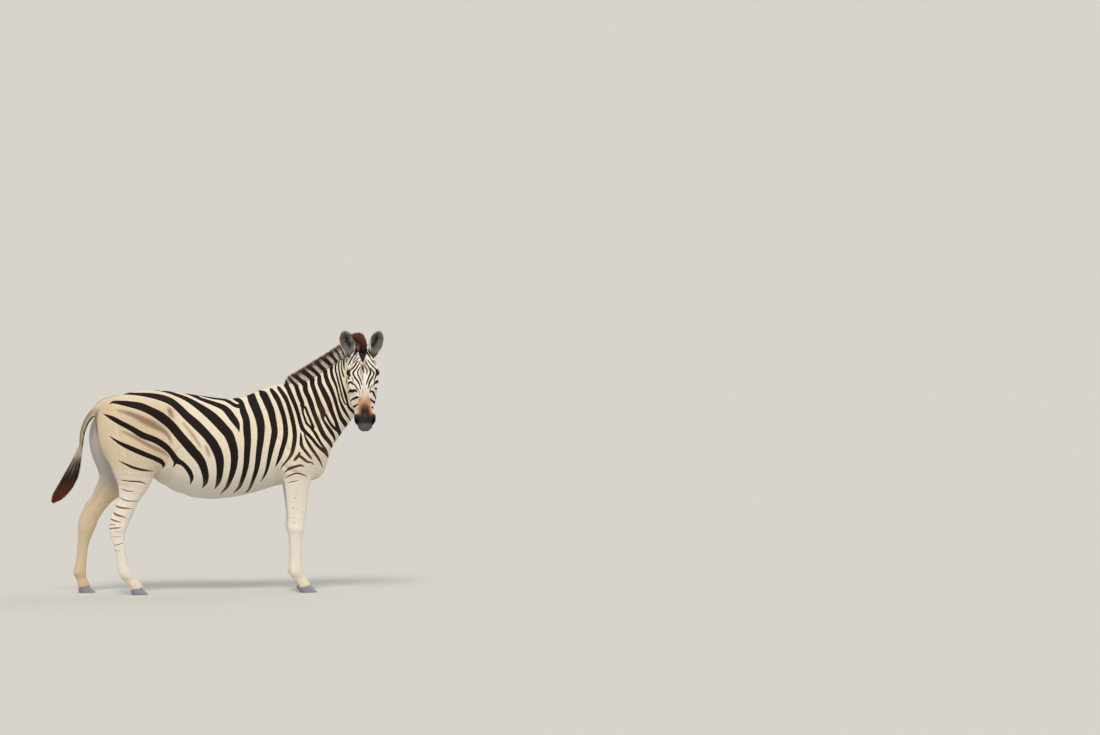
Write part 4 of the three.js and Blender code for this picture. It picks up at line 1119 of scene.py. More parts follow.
def rgba(text):
    return (*linear(text), 1)


def calculate(tree, operation, *values):
    """A sum on numbers and sockets."""
    return add_node(tree, "ShaderNodeMath", dict(enumerate(values)), operation=operation).outputs[0]


def blend_colours(tree, share, first, second):
    """The first colour where the share is nothing, the second where it is one."""
    return add_node(tree, "ShaderNodeMix", {0: share, 6: first, 7: second}, data_type="RGBA").outputs[2]


def attribute(tree, name, output="Fac"):
    return add_node(tree, "ShaderNodeAttribute", attribute_name=name).outputs[output]


def map_range(tree, value, low, high, to_low=0.0, to_high=1.0, **settings):
    """A value's place between two limits, as a place between two others."""
    ends = {"From Min": low, "From Max": high, "To Min": to_low, "To Max": to_high}
    return add_node(tree, "ShaderNodeMapRange", {"Value": value, **ends}, **settings).outputs[0]


def grain(tree, scale, detail):
    """Even noise with a number of grains to the metre."""
    coords = add_node(tree, "ShaderNodeTexCoord").outputs["Object"]
    return add_node(tree, "ShaderNodeTexNoise", {
        "Vector": coords, "Scale": scale, "Detail": detail}).outputs["Fac"]


def finish_material(made, colour, height=None, strength=0.5, depth=0.001):
    """Ends a material: its colour, and the roughness that its bump gives it."""
    tree, shader = made.node_tree, made.node_tree.nodes[0]
    tree.links.new(colour, shader.inputs["Base Color"])
    if height is not None:
        rough = add_node(tree, "ShaderNodeBump", {"Height": height, "Strength": strength, "Distance": depth})
        tree.links.new(rough.outputs[0], shader.inputs["Normal"])
    return made


def toned(tree, colour, tone):
    """A colour made paler or darker by a factor."""
    shaded = add_node(tree, "ShaderNodeVectorMath", {0: colour}, operation="SCALE")
    tree.links.new(tone, shaded.inputs["Scale"])
    return shaded.outputs[0]


def hair_streaks(tree, width, length, detail=2.0):
    """Noise drawn out along the hair, which lies back on the body and down on the legs and face."""
    coords = add_node(tree, "ShaderNodeTexCoord").outputs["Object"]
    turned = add_node(tree, "ShaderNodeMapping", {
        "Vector": coords, "Rotation": (0, math.radians(-35), 0),
        "Scale": (length, width, width)}, vector_type="TEXTURE")
    return add_node(tree, "ShaderNodeTexNoise", {
        "Vector": turned.outputs[0], "Scale": 1.0, "Detail": detail}).outputs["Fac"]


def coat_material(name, roughness):
    # Short horse-like hair lying flat: a matt surface with a faint sheen, streaked along the hair,
    # with dark bands whose edges are ragged by a few hairs.
    made, tree = material(name, roughness, **{"Specular IOR Level": 0.25})
    fine = hair_streaks(tree, 0.0016, 0.014, 3.0)
    inside = calculate(tree, "SUBTRACT", attribute(tree, "half"),
                       calculate(tree, "ABSOLUTE", attribute(tree, "across")))
    inside = calculate(tree, "MAXIMUM", inside, attribute(tree, "other"))
    inside = calculate(tree, "MULTIPLY_ADD", hair_streaks(tree, 0.004, 0.018), 2.6, inside)
    banded = map_range(tree, inside, 0.6, 2.1, interpolation_type="SMOOTHSTEP")
    colour = blend_colours(tree, banded, attribute(tree, "ground", "Color"), attribute(tree, "dark", "Color"))
    colour = toned(tree, colour, map_range(tree, fine, 0.25, 0.75, 0.8, 1.12))
    return finish_material(made, colour, fine, 0.5, 0.0012)


def eye_material():
    # A wet dark brown eye: glossy, with a long level pupil, a mottled iris and a dark edge to it.
    made, tree = material("wet dark brown eye", 0.05, IOR=1.38)
    last = blend_colours(tree, grain(tree, 700.0, 2.0), rgba("1d0f08"), rgba("4a2a17"))
    for wide, high, low, top, colour in ((6.5, 4.0, 0.9, 1.1, "050404"), (12.0, 12.0, 1.15, 0.85, "0d0806")):
        squares = [
            calculate(tree, "POWER", calculate(tree, "DIVIDE", attribute(tree, key), size), 2.0)
            for key, size in (("along", wide), ("above", high))
        ]
        share = map_range(tree, calculate(tree, "ADD", *squares), low, top, 1.0, 0.0)
        last = blend_colours(tree, share, last, rgba(colour))
    return finish_material(made, last)


def horn_material():
    # Hoof wall: horn, hard and half matt, with low uneven growth rings round it.
    made, tree = material("hoof horn", 0.5)
    phase = calculate(tree, "MULTIPLY_ADD", grain(tree, 120.0, 4.0), 0.25, attribute(tree, "ring"))
    wave = calculate(tree, "SINE", calculate(tree, "MULTIPLY", phase, 2 * math.pi))
    share = map_range(tree, wave, -1.0, 1.0)
    colour = blend_colours(tree, share, rgba("82848f"), rgba("9092a0"))
    return finish_material(made, colour, share, 0.25, 0.0005)


def hair_material(name, roughness):
    # Long hair: solid locks, each with the colour of its place on the animal, a little glossy.
    made, tree = material(name, roughness)
    tone = map_range(tree, hair_streaks(tree, 0.002, 0.02), 0.2, 0.8, 0.75, 1.2)
    return finish_material(made, toned(tree, attribute(tree, "hair", "Color"), tone))


# ---- hooves
HOOF_LEAN, HOOF_TAPER, HOOF_TOE, HOOF_AHEAD = 0.78, 0.16, 0.56, 8


def ring_faces(rings, around):
    """Faces between rings of points, each joined to the next all round."""
    faces = []
    for r in range(rings - 1):
        for c in range(around):
            a, b = r * around + c, r * around + (c + 1) % around
            faces.append((a, b, b + around, a + around))
    return faces


def hoof_mesh(end, side, sides=72, rows=14):
    """A hoof wall with its growth rings and rounded edges, on its sole."""
    long, wide = HOOF_SIZE[end]
    x, y = HOOF_X[end, side], OUT[side] * TRACK[end]
    turns = np.arange(sides) / sides * 2 * math.pi
    ahead = np.cos(turns) > 0
    reach = np.sign(np.cos(turns)) * np.abs(np.cos(turns)) ** np.where(ahead, 1, 0.8)
    share = np.where(ahead, HOOF_TOE, 1 - HOOF_TOE)

    def at(z, inset):
        shrink = 1 - HOOF_TAPER * z / HOOF_HEIGHT
        return np.stack([
            x + reach * (long * share * shrink - inset) - z * HOOF_LEAN + HOOF_AHEAD,
            y + np.sin(turns) * (wide * shrink / 2 - inset), z * np.ones(sides)], 1)

    def narrowed(ring, shrink, rise):
        middle = ring.mean(0)
        return middle + (ring - middle) * shrink + [0, 0, rise]

    wall = []
    for row in range(rows + 1):
        t = row / rows
        z = np.zeros(sides)
        for _ in range(12):  # the height at which the wall meets the sloping coronet
            z = t * ((HOOF_HEIGHT + HOOF_HEEL) / 2 + (at(z, 0)[:, 0] - x) * HOOF_SLOPE - 0.5)
        inset = 2.2 * (1 - ramp(t, 0, 0.1)) + 1.2 * ramp(t, 0.9, 1) + 0.5 * math.sin(t * 40)
        wall.append(at(z, inset))
    sole = [narrowed(wall[0], *step) for step in ((0.1, 5.0), (0.45, 4.0), (0.8, 1.5))]
    top = [narrowed(wall[-1], shrink, -0.4) for shrink in (0.8, 0.45, 0.1)]
    rings = sole + wall + top
    last = (len(rings) - 1) * sides
    faces = ring_faces(len(rings), sides)
    faces += [tuple(range(sides - 1, -1, -1)), tuple(range(last, last + sides))]
    points = np.concatenate(rings)
    points[:, 2] = np.maximum(points[:, 2], 0)
    made = new_mesh(f"hoof_{end}_{side}", to_row(points), faces)
    growth = np.clip((np.arange(len(rings)) - len(sole)) / rows, 0, 1) * 5.0
    write_attribute(made, "ring", np.repeat(growth, sides))
    made.shade_smooth()
    return made


# ---- ears
EAR_WALL, EAR_THINNEST, EAR_BURIED = 5, 1.2, 35


def ear_place(out, t, turn_share, depth):
    """A point of the ear: t from root to tip, turn_share across it from -0.5 to 0.5, depth into its wall."""
    up = unit([out * math.sin(EAR_LEAN), 0.1, math.cos(EAR_LEAN)])
    facing = np.array([out * math.sin(EAR_TURN), -math.cos(EAR_TURN), -0.05])
    facing = unit(facing - up * (facing @ up))
    across = np.cross(up, facing)
    root = on_head((out * EAR_AT[0], EAR_AT[1], EAR_AT[2]))
    leaf = (0.42 + 1.35 * t - 0.25 * t**2 - 1.42 * t**5) * (1 - 0.12 * t**12)
    wide = EAR_WIDTH / 2 * leaf
    opened = 0.78 + 0.22 * min(1, t * 2.2)
    reach = 2.55 + (1.45 - 2.55) * min(1, t * 1.5)
    angle = turn_share * 2 * reach
    round_ = max(wide - depth, EAR_THINNEST)
    rise = t * (EAR_LENGTH + EAR_BURIED - depth) - EAR_BURIED
    return (root + up * rise + across * math.sin(angle) * round_ * opened
            + facing * (-math.cos(angle) * round_ * 0.72 + wide * 0.25 + t * t * 14))


def ear_tone(t, s, coat):
    """Inside an ear: grey, paler towards the other ear and below, with a ragged dark patch up the middle, and
    dark at its base from dark hair and painted shade deep in the cup.
    """
    grey, dark = tones(coat, "ear_inside", "dark")
    light = ramp(-s, -0.05, 0.4) * 0.7 + 0.35 * (1 - ramp(t, 0.25, 0.5))
    tone = grey + grey * 1.5 * min(1.0, light)
    middle = 0.03 + 0.045 * math.sin(t * 23) + 0.03 * math.sin(t * 51 + 1)
    patch = bump(s - middle, 0.105) * ramp(t, 0.28, 0.45) * (1 - ramp(t, 0.72, 0.86))
    tone = tone + (dark * 1.7 - tone) * min(1.0, 1.2 * patch)
    # darker at the base: dark hair, and painted shade deep in the ear's cup
    return tone + (dark * 1.7 - tone) * (1 - ramp(t, 0.08, 0.3)) * 0.9


def ear_hair(rng, side, coat, count=420):
    """Locks lying up the inside of an ear, and longer ones round its root."""
    out, few = OUT[side], count // 2
    s = np.linspace(0, 1, 5)
    paths, colours = np.empty((2, count + few, 5, 3))
    for i in range(count):
        t, across = rng.uniform(0.08, 0.8), rng.uniform(-0.46, 0.46)
        rise, lift, drift = rng.uniform(0.1, 0.19), rng.uniform(1.5, 4.5), rng.normal(-0.25 * across, 0.05)
        for j, share in enumerate(s):
            at = min(t + rise * share, 0.97)
            paths[i, j] = ear_place(out, at, across + drift * share, 4.6 + lift * share)
            colours[i, j] = ear_tone(t, across * out, coat) * (0.9 + 0.35 * share)
    narrow = rng.uniform(1.6, 2.6, (count, 1)) * np.array([0.8, 1, 0.8, 0.5, 0.08])
    dark, white = tones(coat, "dark", "white")
    for i in range(count, count + few):
        t, across = rng.uniform(0.02, 0.16), rng.uniform(-0.5, 0.5)
        rise, lift = rng.uniform(0.1, 0.17), rng.uniform(1, 4)
        colours[i] = dark * 1.6 if abs(across) > 0.3 else white
        for j, share in enumerate(s):
            along, around = t + rise * share, across * (1 - 0.1 * share)
            paths[i, j] = ear_place(out, along, around, -lift * math.sin(3 * share))
    wide = rng.uniform(2.4, 3.8, (few, 1)) * np.array([0.8, 1, 0.9, 0.6, 0.08])
    return paths, np.concatenate([narrow, wide]), colours.reshape(-1, 3)


def ear_mesh(side, coat, rows=44, columns=44):
    """An ear as a thin shell, open in front, with its colours outside and inside."""
    out = OUT[side]
    white, dark, cream = tones(coat, "white", "dark", "cream")
    points, colours = [], []
    for inner in (False, True):
        for r in range(rows + 1):
            t = r / rows
            for c in range(columns + 1):
                s = c / columns - 0.5
                edge = abs(s) * 2
                wall = (EAR_WALL - 0.6) * (1 - 0.75 * edge**6) * (1 - 0.7 * t**8)
                points.append(ear_place(out, t, s, 0.6 + (wall if inner else 0)))
                rim = max(ramp(edge, 0.86, 0.97), ramp(t, 0.93, 0.99))
                if inner:
                    tone = ear_tone(t, s * out, coat)
                    tone = tone + (cream * 0.8 - tone) * rim
                else:
                    band = min(1, 1.25 * bump(t - 0.8, 0.1)) * (1 - 0.6 * rim)
                    tone = white + (dark - white) * band
                    tone = tone + (dark - tone) * (1 - ramp(t, 0.1, 0.34)) * 0.85
                colours.append(tone)
    width = columns + 1
    n = (rows + 1) * width
    faces = []
    for r in range(rows):
        for c in range(columns):
            a = r * width + c
            faces.append((a, a + width, a + width + 1, a + 1))
            faces.append((n + a, n + a + 1, n + a + width + 1, n + a + width))
    for r in range(rows):
        a, b = r * width, r * width + columns
        faces += [(a, n + a, n + a + width, a + width), (b, b + width, n + b + width, n + b)]
    for c in range(columns):
        top = rows * width + c
        faces += [(c, c + 1, n + c + 1, n + c), (top, n + top, n + top + 1, top + 1)]
    made = new_mesh(f"ear_{side}", to_row(points), faces)
    write_attribute(made, "hair", colours)
    made.shade_smooth()
    return made


# ---- long hair
def lock_meshes(paths, widths, sides):
    """Joined tapering locks: paths is (locks, points along, 3), widths (locks, points along)."""
    count, steps = widths.shape
    along = unit(np.gradient(paths, axis=1))
    hint = np.cross(along[:, :1], np.array([0.31, 0.87, 0.39]))
    side = unit(np.cross(along, unit(np.broadcast_to(hint, along.shape))))
    up = np.cross(side, along)
    turns = (np.arange(sides) / sides * 2 * math.pi)[None, None, :, None]
    ring = side[:, :, None] * np.cos(turns) + up[:, :, None] * np.sin(turns) * 0.6
    points = paths[:, :, None] + ring * widths[:, :, None, None] / 2
    base = (np.arange(count) * steps * sides)[:, None]
    r = np.arange(steps - 1)[None, :] * sides
    faces = []
    for c in range(sides):
        a, b = [(base + r + k % sides).ravel() for k in (c, c + 1)]
        faces += np.stack([a, b, b + sides, a + sides], 1).tolist()
    first = np.arange(sides)
    for cap in (first[::-1] + base, first + base + (steps - 1) * sides):
        faces += cap.tolist()
    return points.reshape(-1, 3), faces


def along_line(line, share):
    """Rows of a smooth table at shares of its length."""
    where = share * (len(line) - 1)
    i = np.minimum(where.astype(int), len(line) - 2)
    f = (where - i)[..., None]
    return line[i] * (1 - f) + line[i + 1] * f, i


MANE_LINE = [  # a point on the crest, the way the hair stands there, and how long it is
    ((432, 0, 1262), (-0.7, 0, 0.7), 32), ((480, 2, 1282), (-0.72, 0, 0.69), 83),
    ((560, 4, 1322), (-0.73, 0, 0.68), 92), ((650, 2, 1378), (-0.71, 0, 0.7), 91),
    ((735, -6, 1434), (-0.65, 0.08, 0.75), 87), ((802, -34, 1484), (-0.52, 0.2, 0.82), 84),
    ((850, -84, 1514), (-0.2, 0.14, 0.97), 92), ((870, -140, 1524), (0, 0, 1), 99),
    ((873, -196, 1516), (0.1, -0.4, 0.9), 84),
]
MANE_WIDTH, MANE_BURIED = 38, 28
MANE_END = 0.84  # the share of the crest that has the mane; the forelock is ahead of it


def mane_locks(rng, count):
    """Locks of the upright brush along the crest."""
    line = smooth_through([[*at, *way, tall] for at, way, tall in MANE_LINE], 12)
    row, i = along_line(line, MANE_END * rng.random(count))
    at, way, tall = row[:, :3], unit(row[:, 3:6]), row[:, 6]
    along = unit(line[i + 1, :3] - line[i, :3])
    side = unit(np.cross(way, along))
    across = rng.uniform(-1, 1, count)
    base = at + side * (across * MANE_WIDTH * 0.46)[:, None] - way * MANE_BURIED
    length = (tall + MANE_BURIED) * (1 - 0.2 * across**2 - 0.07 * rng.random(count) ** 2) - 2
    aside, ahead = rng.normal(0, 0.04, count) - across * 0.1, rng.normal(0, 0.025, count)
    lean = unit(way + side * aside[:, None] + along * ahead[:, None])
    s = np.array([0, 0.3, 0.45, 0.6, 0.75, 0.9, 1])
    paths = base[:, None] + lean[:, None] * (length[:, None] * s)[..., None]
    paths += along[:, None] * (rng.normal(0, 2.0, (count, 1)) * s**2)[..., None]
    widths = rng.uniform(2.4, 4.2, (count, 1)) * np.array([1, 1, 1, 0.95, 0.85, 0.6, 0.12])
    return paths, widths, s


def facing_place(flat, lift):
    """Where points of the flat view lie on the skin, lifted off it towards the viewer."""
    c, s = math.cos(VIEW_TURN), math.sin(VIEW_TURN)

    def at(y):
        x = (flat[:, 0] * (1 + y * c / VIEW_AWAY) + y * s) / (c - flat[:, 0] * s / VIEW_AWAY)
        near = 1 + (x * s + y * c) / VIEW_AWAY
        return np.stack([x, y, VIEW_HEIGHT + (flat[:, 1] - VIEW_HEIGHT) * near], 1)

    y = np.full(len(flat), -330.0)
    for _ in range(40):
        y += np.clip(fine_flesh(at(y), carved=False), -20, 20) * 0.8 * (y < -150)
    return at(y - lift)


FORELOCK_AT = np.array([874, -168])


def forelock_locks(rng, count):
    """A forelock: a brush standing on the poll, and a wedge of dark locks down the forehead."""
    s = np.linspace(0, 1, 6)
    turn, out = rng.uniform(0, 2 * math.pi, count), np.sqrt(rng.random(count))
    root = np.stack([24 * out * np.cos(turn), 42 * out * np.sin(turn)], 1)
    base = np.column_stack([FORELOCK_AT + root, np.full(count, 1492.0)])
    tall = 126 - 52 * out**3 * (0.8 + 0.6 * np.cos(turn)) - rng.uniform(0, 7, count)
    fan = np.stack([root[:, 0] * 1.05 - 9, root[:, 1] * 0.35, tall], 1)
    paths = base[:, None] + fan[:, None] * s[:, None]
    paths[..., 0] += rng.normal(0, 3, (count, 1)) * s**2 - 9 * s**2
    paths[..., 0] += rng.normal(0, 2, (count, 1)) * np.sin(s * 5)
    widths = rng.uniform(2.6, 4.6, (count, 1)) * np.array([1, 1, 1, 0.9, 0.7, 0.1])
    few = count // 3
    start = np.stack([rng.uniform(868, 922, few), rng.uniform(1494, 1508, few)], 1)
    share = rng.uniform(0.35, 1, few)[:, None]
    point = np.stack([895.5 + (start[:, 0] - 895) * 0.16, np.full(few, 1430.0)], 1)
    flat = start[:, None] + ((point - start) * share)[:, None] * s[:, None]
    flat[..., 0] += rng.normal(0, 1.6, (few, 1)) * np.sin(s * 4)
    lift = rng.uniform(0.5, 6, (few, 1)) * np.sin(0.4 + s * 2.5)
    down = facing_place(flat.reshape(-1, 2), lift.ravel()).reshape(few, 6, 3)
    narrow = rng.uniform(2.4, 4.2, (few, 1)) * np.array([0.8, 1, 1, 0.9, 0.6, 0.1])
    return np.concatenate([paths, down]), np.concatenate([widths, narrow]), s


def forelock_colours(points, standing, coat):
    cream, dark, brown = tones(coat, "cream", "dark", "mane_tip")
    x, _, z = points.T
    tone = mix(dark * 0.8, brown, standing * ramp(z, 1500, 1552))
    return mix(tone, cream * 0.8, standing * ramp(856 - x, 0, 5) * bump(z - 1522, 11))


def mane_colours(points, shares, coat):
    white, dark, brown = tones(coat, "white", "dark", "mane_tip")
    flat = side_view(points)
    tone = mix(white, dark + (brown - dark) * 0.25, ramp(strongest(BODY_STROKES, flat)[0], -2.5, 2.5))
    tone = mix(tone, brown, ramp(shares, 0.8, 0.9) * ramp(flat[:, 0], 400, 500) * 0.95)
    front = mix(dark, brown, ramp(flat[:, 1], 1480, 1560))
    return mix(tone, front, ramp(flat[:, 0], 800, 850))


def long_hair_piece(name, paths, widths, colours, slot, hair, replaced=(), sides=3):
    """Locks as a piece, with a cell of the bake map for each."""
    points, faces = lock_meshes(paths, widths, sides)
    made = new_mesh(name, to_row(points), faces)
    write_attribute(made, "hair", np.repeat(colours, sides, axis=0))
    count, steps = widths.shape
    wide = math.ceil(math.sqrt(count))
    cells = np.stack(np.divmod(np.arange(count), wide), 1)
    spots = [(c / (sides - 1) - 0.5, r / (steps - 1) - 0.5) for r in range(steps) for c in range(sides)]
    write_bake_map(made, (cells + 0.5) / wide, spots, 0.8 / wide)
    made.shade_smooth()
    place(name, made, [hair], replaced)


TUFT_LINE = [  # a point down the tail's middle, and how far the hair reaches behind and to the side there
    ((-853, 8, 905), 22, 22), ((-868, 12, 850), 27, 32), ((-888, 16, 780), 33, 44), ((-915, 22, 710), 34, 48),
    ((-952, 28, 650), 30, 42), ((-990, 33, 602), 22, 32), ((-1022, 37, 564), 7, 10),
]


def tail_locks(rng, count):
    """Locks hanging round the tail's middle, each over a part of its length."""
    line = smooth_through([[*at, half, depth] for at, half, depth in TUFT_LINE], 6)
    start = rng.uniform(0, 0.35, count)
    end = np.clip(start + rng.uniform(0.45, 0.9, count), 0, 1)
    s = np.linspace(0, 1, 14)
    row = along_line(line, start[:, None] + (end - start)[:, None] * s)[0]
    turn = rng.uniform(0, 2 * math.pi, count)[:, None]
    out = np.sqrt(rng.uniform(0.1, 1, count)) * 0.93
    along = unit(np.gradient(row[..., :3], axis=1))
    side = unit(np.cross(np.broadcast_to(LEFT, along.shape), along))
    radius = out[:, None] * np.clip(0.6 + s * 0.5, 0, 1)
    paths = (row[..., :3] + np.cross(along, side) * (np.cos(turn) * radius * row[..., 3])[..., None]
             + side * (np.sin(turn) * radius * row[..., 4])[..., None])
    swing = rng.normal(0, 3.5, (count, 1))
    often, begun = rng.uniform(3, 6, (count, 1)), rng.uniform(0, 6, (count, 1))
    paths += side * (swing * np.sin(s * often + begun))[..., None]
    widths = rng.uniform(3, 5.5, count)[:, None] * np.interp(s, [0, 0.15, 0.7, 1], [0.5, 1, 0.8, 0.08])
    return paths, widths, s


# ---- the short coat
TUFT_TREE = "coat tufts"


def tuft_tree():
    """Geometry Nodes that stand one tuft on each root, turned to its lie, as one mesh."""
    if TUFT_TREE in bpy.data.node_groups:
        return bpy.data.node_groups[TUFT_TREE]
    tree = bpy.data.node_groups.new(TUFT_TREE, "GeometryNodeTree")
    for name, kind in (("Roots", "Geometry"), ("Tuft", "Object"), ("Length", "Float"), ("Width", "Float"),
                       ("Uneven", "Float"), ("Seed", "Int"), ("Finish", "Material")):
        tree.interface.new_socket(name, in_out="INPUT", socket_type="NodeSocket" + kind)
    tree.interface.new_socket("Coat", in_out="OUTPUT", socket_type="NodeSocketGeometry")
    given = add_node(tree, "NodeGroupInput").outputs
    lie, out, share = [
        add_node(tree, "GeometryNodeInputNamedAttribute", {"Name": name}, data_type=kind).outputs[0]
        for name, kind in (("lie", "FLOAT_VECTOR"), ("out", "FLOAT_VECTOR"), ("size", "FLOAT"))
    ]
    turned = add_node(tree, "FunctionNodeAlignRotationToVector", {"Vector": lie}, axis="X")
    turned = add_node(tree, "FunctionNodeAlignRotationToVector", {
        "Rotation": turned.outputs[0], "Vector": out}, axis="Z", pivot_axis="X")
    uneven = add_node(tree, "FunctionNodeRandomValue", {
        "Min": calculate(tree, "SUBTRACT", 1.0, given["Uneven"]),
        "Max": calculate(tree, "ADD", 1.0, given["Uneven"]), "Seed": given["Seed"]}, data_type="FLOAT")
    long = calculate(tree, "MULTIPLY", calculate(tree, "MULTIPLY", uneven.outputs[1], share), given["Length"])
    wide = calculate(tree, "MULTIPLY", share, given["Width"])
    scale = add_node(tree, "ShaderNodeCombineXYZ", {0: long, 1: wide, 2: wide})
    tuft = add_node(tree, "GeometryNodeObjectInfo", {"Object": given["Tuft"]})
    stood = add_node(tree, "GeometryNodeInstanceOnPoints", {
        "Points": given["Roots"], "Instance": tuft.outputs["Geometry"],
        "Rotation": turned.outputs[0], "Scale": scale.outputs[0]})
    real = add_node(tree, "GeometryNodeRealizeInstances", {"Geometry": stood.outputs[0]})
    coated = add_node(tree, "GeometryNodeSetMaterial", {
        "Geometry": real.outputs[0], "Material": given["Finish"]})
    add_node(tree, "NodeGroupOutput", {"Coat": coated.outputs[0]})
    return tree


TUFT_CORNERS = [(0, -0.5, -0.15), (0, 0.5, -0.15), (0.1, 0, 0.35), (1, 0, 0)]
TUFT_FACES = [(0, 2, 3), (2, 1, 3), (1, 0, 3), (0, 1, 2)]
TUFT_SPOTS = [(0, 0.3), (0, 0.7), (0.4, 0.5), (1, 0.5)]  # its corners on its own bit of the bake map


def tuft_shape():
    """A closed spike of four faces, one long and one wide."""
    if "tuft" not in bpy.data.objects:
        shape = bpy.data.objects.new("tuft", new_mesh("tuft", TUFT_CORNERS, TUFT_FACES))
        bpy.context.scene.collection.objects.link(shape)
        shape.hide_render = True
    return bpy.data.objects["tuft"]


def stand_tufts(roots, lie, out, size, **inputs):
    """The mesh of tufts on the roots; its vertices are each root's in turn."""
    base = new_mesh("roots", roots, [])
    write_attribute(base, "lie", lie, colour=False)
    write_attribute(base, "out", out, colour=False)
    write_attribute(base, "size", size)
    holder = bpy.data.objects.new("roots", base)
    bpy.context.scene.collection.objects.link(holder)
    modifier = holder.modifiers.new("tufts", "NODES")
    modifier.node_group = tuft_tree()
    for item in modifier.node_group.interface.items_tree:
        if item.in_out == "INPUT" and item.name in inputs:
            modifier[item.identifier] = inputs[item.name]
    depsgraph = bpy.context.evaluated_depsgraph_get()
    made = bpy.data.meshes.new_from_object(holder.evaluated_get(depsgraph))
    bpy.data.objects.remove(holder)
    bpy.data.meshes.remove(base)
    return made


def face_corners(made):
    """Corner vertices of every face as four columns; a triangle repeats its last."""
    start, total = [read(made.polygons, key, kind=int) for key in ("loop_start", "loop_total")]
    vertex = read(made.loops, "vertex_index", kind=int)
    return np.stack([vertex[start + np.minimum(k, total - 1)] for k in range(4)], 1)


def scatter(rng, points, normals, corners, weight, count):
    """Places spread evenly over faces by area and weight, with their normals."""
    a, b, c, d = (points[corners[:, k]] for k in range(4))
    area = (lengths(np.cross(b - a, c - a)) + lengths(np.cross(c - a, d - a))) / 2
    total = np.cumsum(area * weight)
    pick = np.searchsorted(total, (np.arange(count) + rng.random(count)) / count * total[-1])
    pick = corners[np.minimum(pick, len(corners) - 1)]
    u, v = rng.random((2, count, 1))

    def at(values):
        a, b, c, d = (values[pick[:, k]] for k in range(4))
        return (a * (1 - u) + b * u) * (1 - v) + (d * (1 - u) + c * u) * v

    return at(points), unit(at(normals))


def hair_lie(p, normal):
    """The way the coat lies: back along the body, down the legs, and down and back over the face."""
    x, _, z = p.T
    way = mix(np.array([-1.0, 0, -0.4]), np.array([-0.72, 0.12, -0.7]), ramp(x, 380, 560))
    way = mix(way, np.array([-0.12, 0, -1.0]), 1 - ramp(z, 640, 860))
    h = in_head(p)
    head = (behind_head(p) < 20) & (h[:, 1] > HEAD_TOP)
    cheek = ramp(-h[:, 2], 30, 110)[:, None]
    face_way = HEAD[:, 1] * (1 - 0.5 * cheek) - HEAD[:, 2] * 0.75 * cheek
    face_way = face_way + HEAD[:, 0] * 0.25 * np.sign(h[:, :1])
    way = np.where(head[:, None], face_way, way)
    way = way - normal * np.einsum("ij,ij->i", way, normal)[:, None]
    return unit(way + 1e-6)


def bare_places(p):
    """Where no hair grows: the openings of the eyes, nostrils and mouth, and the tops of the hooves."""
    h = in_head(p)
    out, along, above, far = eye_parts(h)
    eye = (far < 34) & (opening(along, above) < 2.5) & (out > 0)
    nostril = lengths((one_side(h) - NOSTRIL_AT) / [14, 24, 22]) < 1
    mouth = (np.abs(h[:, 2] - MOUTH_LINE) < 5) & (h[:, 1] > 430)
    return eye | nostril | mouth | (p[:, 2] < 34)


def hair_size(p):
    """How large tufts are, as a share of those on the trunk."""
    down = in_head(p)[:, 1]
    head = 1 - ramp(from_face(p), 300, 440)
    head = np.maximum(head, (behind_head(p) < 0) * (down > HEAD_TOP))
    legs = 1 - ramp(p[:, 2], 480, 840)
    return 1 - 0.55 * np.maximum(head, legs) - 0.15 * head * ramp(down, 380, 450)


LIMB_TOP = 760  # below it each leg has charts of its own


def charts_of(p, normal):
    """Which flat chart of the skin each place lies on, and its place there in metres."""
    direction = np.abs(normal).argmax(1)
    sign = (np.take_along_axis(normal, direction[:, None], 1)[:, 0] > 0).astype(int)
    limb = np.where(p[:, 2] < LIMB_TOP, 1 + (p[:, 1] > 0) + 2 * (p[:, 0] > 0), 0)
    chart = limb * 6 + direction * 2 + sign
    axes = np.array([[1, 2], [0, 2], [0, 1]])[direction]
    return chart, np.take_along_axis(p, axes, 1) * 0.001


CHART_GAP = 0.012  # between charts, on a map one wide


def bake_places(p, normal):
    """Each place's own spot on an unwrap of the skin, all charts packed in shelves on the unit square."""
    chart, flat = charts_of(p, normal)
    names = np.unique(chart)
    low = {c: flat[chart == c].min(0) for c in names}
    size = {c: np.ptp(flat[chart == c], axis=0) for c in names}
    order = sorted(names, key=lambda c: -size[c][1])

    def shelves(scale):
        spots, x, y, tall = {}, 0.0, 0.0, 0.0
        for c in order:
            wide, high = size[c] * scale + CHART_GAP
            if x + wide > 1:
                x, y, tall = 0.0, y + tall, 0.0
            spots[c] = (x + CHART_GAP / 2, y + CHART_GAP / 2)
            x, tall = x + wide, max(tall, high)
        return spots, y + tall, max(size[c][0] * scale for c in names) + CHART_GAP

    scale = 2.0
    while True:
        spots, used, widest = shelves(scale)
        if used <= 1 and widest <= 1:
            break
        scale *= 0.96
    uv = np.empty((len(p), 2))
    for c in names:
        at = chart == c
        uv[at] = (flat[at] - low[c]) * scale + spots[c]
    return uv


PATCH = 0.003  # a tuft's width on the bake map
MOST_TUFTS = 49000  # in one piece


def write_bake_map(made, root_uv, corner_spots, patch=PATCH):
    """The map that colours are baked by: each tuft or lock a patch, at its root's place or in its cell."""
    per = len(corner_spots)
    layer = made.uv_layers.new(name="OFBake")
    vertex = read(made.loops, "vertex_index", kind=int)
    uv = root_uv[vertex // per] + np.asarray(corner_spots)[vertex % per] * patch
    layer.data.foreach_set("uv", np.clip(uv, 0, 1).astype(np.float32).ravel())


